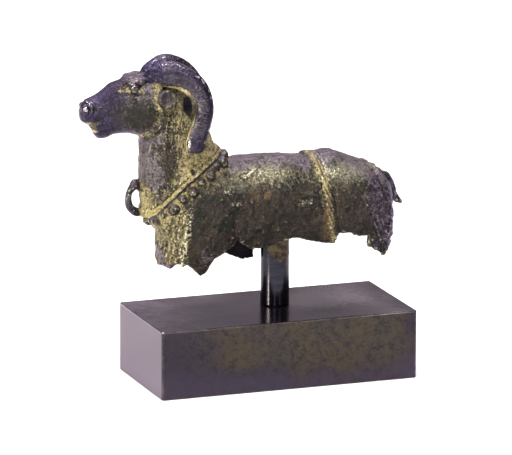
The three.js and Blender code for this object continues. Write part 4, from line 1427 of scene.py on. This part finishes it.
def plinth_finish():
    """Smooth dark patinated bronze: a brown and olive mottle, violet low down and at both ends, a
    painted reflection that makes the top paler towards the ends, the back and the back left corner, worn
    edges, and a pitted place on top beside the post."""
    paint = Paint("polished_brown_patina", Metallic=1.0, Specular_Tint=(1.0, 0.9, 1.0, 1))
    broad, mottle, grain = paint.noise(16, 3, 0.5), paint.noise(3, 6, 0.75), paint.noise(0.7, 3, 0.7)
    along, across, up = paint.axis("X"), paint.axis("Y"), paint.axis("Z")
    on_top = up.step(0.0250, 0.0257)
    middle = along.step(-0.035, 0.005)
    brown = (broad + middle * 0.06).step(0.45, 0.8) * (mottle + grain * 0.6).step(0.5, 1.1)
    # Painted reflection: the top paler towards the ends, the back and the back left corner.
    ends = ((along * along).step(0.0001, 0.0022) * 0.9 + 0.22) * on_top
    back = across.step(0.006, 0.022) * along.step(0.0, -0.025) * on_top
    corner = along.step(-0.026, -0.044) * across.step(-0.020, 0.012) * on_top
    violet = up.step(0.013, 0.002) * 0.6 - middle * 0.4 + along.step(0.036, 0.050) * 0.6 + 0.5
    violet = (violet + (mottle - broad) * 1.2).step(0.1, 0.9)
    violet_tone = paint.mix(up.step(0.016, 0.002), VIOLET_UPPER, VIOLET_LOWER)
    pitted = paint.gap(*PITTED_PLACE) + (broad - 0.5) * 0.03 + (mottle - 0.5) * 0.02
    pitted = pitted.step(0.026, 0.006) * on_top
    specks = (1 - grain).step(0.5, 0.6) * pitted
    left_edge = along.step(-0.046, -0.049)
    worn = paint.share("edge") * (0.1 + (mottle - 0.5) * 1.6).most(0.0) * (1 - left_edge * 0.75)
    colour = paint.layers(
        paint.mix((mottle + grain * 0.8).step(0.7, 1.05), PLINTH_DARK, PLINTH_OLIVE),
        (brown, PLINTH_BROWN), (ends * (mottle + 0.4), PLINTH_TOP_END_REFLECTION), (back * 0.8, PLINTH_TOP_BACK_REFLECTION),
        (corner * 0.8, PLINTH_TOP_CORNER_REFLECTION), (violet * 0.75, violet_tone), (specks * 0.85, PLINTH_SPECK),
        (worn.least(1.0), WORN_EDGE))
    rough = 0.2 + (mottle - 0.5) * 0.12 + pitted * 0.14
    height = mottle * 0.4 + grain * (0.4 + pitted * 7)
    return paint.feed(Base_Color=colour, Roughness=rough, Normal=paint.bump(height, 0.02))


def post_finish():
    """Near-black polished bronze with faint turning lines, darker close under the ram, with a brown
    residue there."""
    paint = Paint("polished_black_bronze", Metallic=1.0, Specular_Tint=(1.0, 0.94, 0.96, 1))
    turning = paint.noise(1.2, 4, 0.7, where=paint.stretched(0.1, 0.1, 1.0))
    grain, clots = paint.noise(0.9, 4, 0.7), paint.noise(4, 4, 0.7)
    near = paint.gap(*RESIDUE_PLACE).step(0.009, 0.002)
    residue = (near + (clots - 0.5) * 2.6 + (grain - 0.5) * 1.2).step(0.45, 0.95)
    brown = paint.mix(clots.step(0.42, 0.58), RESIDUE_DARK, RESIDUE_LIGHT)
    shade = paint.axis("Z").step(0.041, 0.049)
    colour = paint.layers(paint.mix(turning.step(0.4, 0.65), POST_DARK, POST_LIGHT),
                          (shade * 0.65, POST_SHADE), (residue, brown))
    rough = 0.16 + residue * 0.4 + (turning - 0.5) * 0.08
    return paint.feed(Base_Color=colour, Roughness=rough,
                      Normal=paint.bump(turning * 0.4 + grain * residue, 0.04))


def dress(piece, material):
    """Gives a whole piece one material."""
    piece.data.materials.clear()
    piece.data.materials.append(material)
    piece.data.polygons.foreach_set("material_index", np.zeros(len(piece.data.polygons), np.int32))


def floor():
    """A plain pale floor, wide enough to fill the view."""
    bpy.ops.mesh.primitive_plane_add(size=8)
    made = bpy.context.object
    made.name = "floor"
    paint = Paint("pale_floor", Base_Color=(0.7, 0.7, 0.7, 1), Roughness=0.6)
    dress(made, paint.material)


def camera():
    """The photograph's view: the camera looks at its target from an azimuth and an elevation."""
    azimuth, elevation = math.radians(VIEW_AZIMUTH), math.radians(VIEW_ELEVATION)
    back = Vector((math.sin(azimuth) * math.cos(elevation), -math.cos(azimuth) * math.cos(elevation),
                   math.sin(elevation)))
    data = bpy.data.cameras.new("camera")
    data.lens = VIEW_LENS
    data.sensor_width = 36
    data.clip_end = 20
    made = bpy.data.objects.new("camera", data)
    bpy.context.scene.collection.objects.link(made)
    made.rotation_mode = "QUATERNION"
    made.location = (Vector(VIEW_TARGET) + back * VIEW_DISTANCE) * MM
    roll = Quaternion((0, 0, 1), math.radians(VIEW_ROLL))
    made.rotation_quaternion = (-back).to_track_quat("-Z", "Y") @ roll
    bpy.context.scene.camera = made


def softbox(name, place, size, power, aim=(0, 0, 0.07), colour=(1, 1, 1)):
    """A rectangular light turned towards its aim, in metres and watts."""
    data = bpy.data.lights.new(name, "AREA")
    data.shape = "RECTANGLE"
    data.size, data.size_y = size
    data.energy = power
    data.color = colour
    made = bpy.data.objects.new(name, data)
    bpy.context.scene.collection.objects.link(made)
    made.location = place
    made.rotation_mode = "QUATERNION"
    made.rotation_quaternion = (Vector(aim) - Vector(place)).to_track_quat("-Z", "Y")


def studio():
    """A softbox overhead in front, one on the left, one over the floor behind and a small one beside
    the camera, two strips that make streaks on the post, and an even light all round."""
    softbox("key_softbox", (-0.15, -0.3, 0.95), (0.55, 0.55), 20)
    softbox("left_softbox", (-0.9, -0.2, 0.4), (0.4, 0.4), 4)
    softbox("floor_softbox", (0.0, 0.75, 0.9), (1.2, 0.5), 18, (0.0, 0.75, 0.0))
    softbox("front_softbox", (-0.45, -1.1, 0.45), (0.12, 0.12), 1.8)
    softbox("left_strip", (-0.9, -0.3, 0.22), (0.10, 0.2), 11, colour=(0.92, 1.0, 0.55))
    softbox("right_strip", (0.42, -1.05, 0.26), (0.03, 0.4), 0.7)
    world = bpy.data.worlds.new("studio")
    world.use_nodes = True
    background = world.node_tree.nodes["Background"]
    background.inputs["Color"].default_value = (1, 1, 1, 1)
    background.inputs["Strength"].default_value = EVEN_LIGHT
    bpy.context.scene.world = world
    bpy.context.scene.view_settings.view_transform = "Standard"


camera()
studio()
floor()
dress(build_plinth(), plinth_finish())
dress(build_post(), post_finish())
dress(build_ram(), ram_finish())
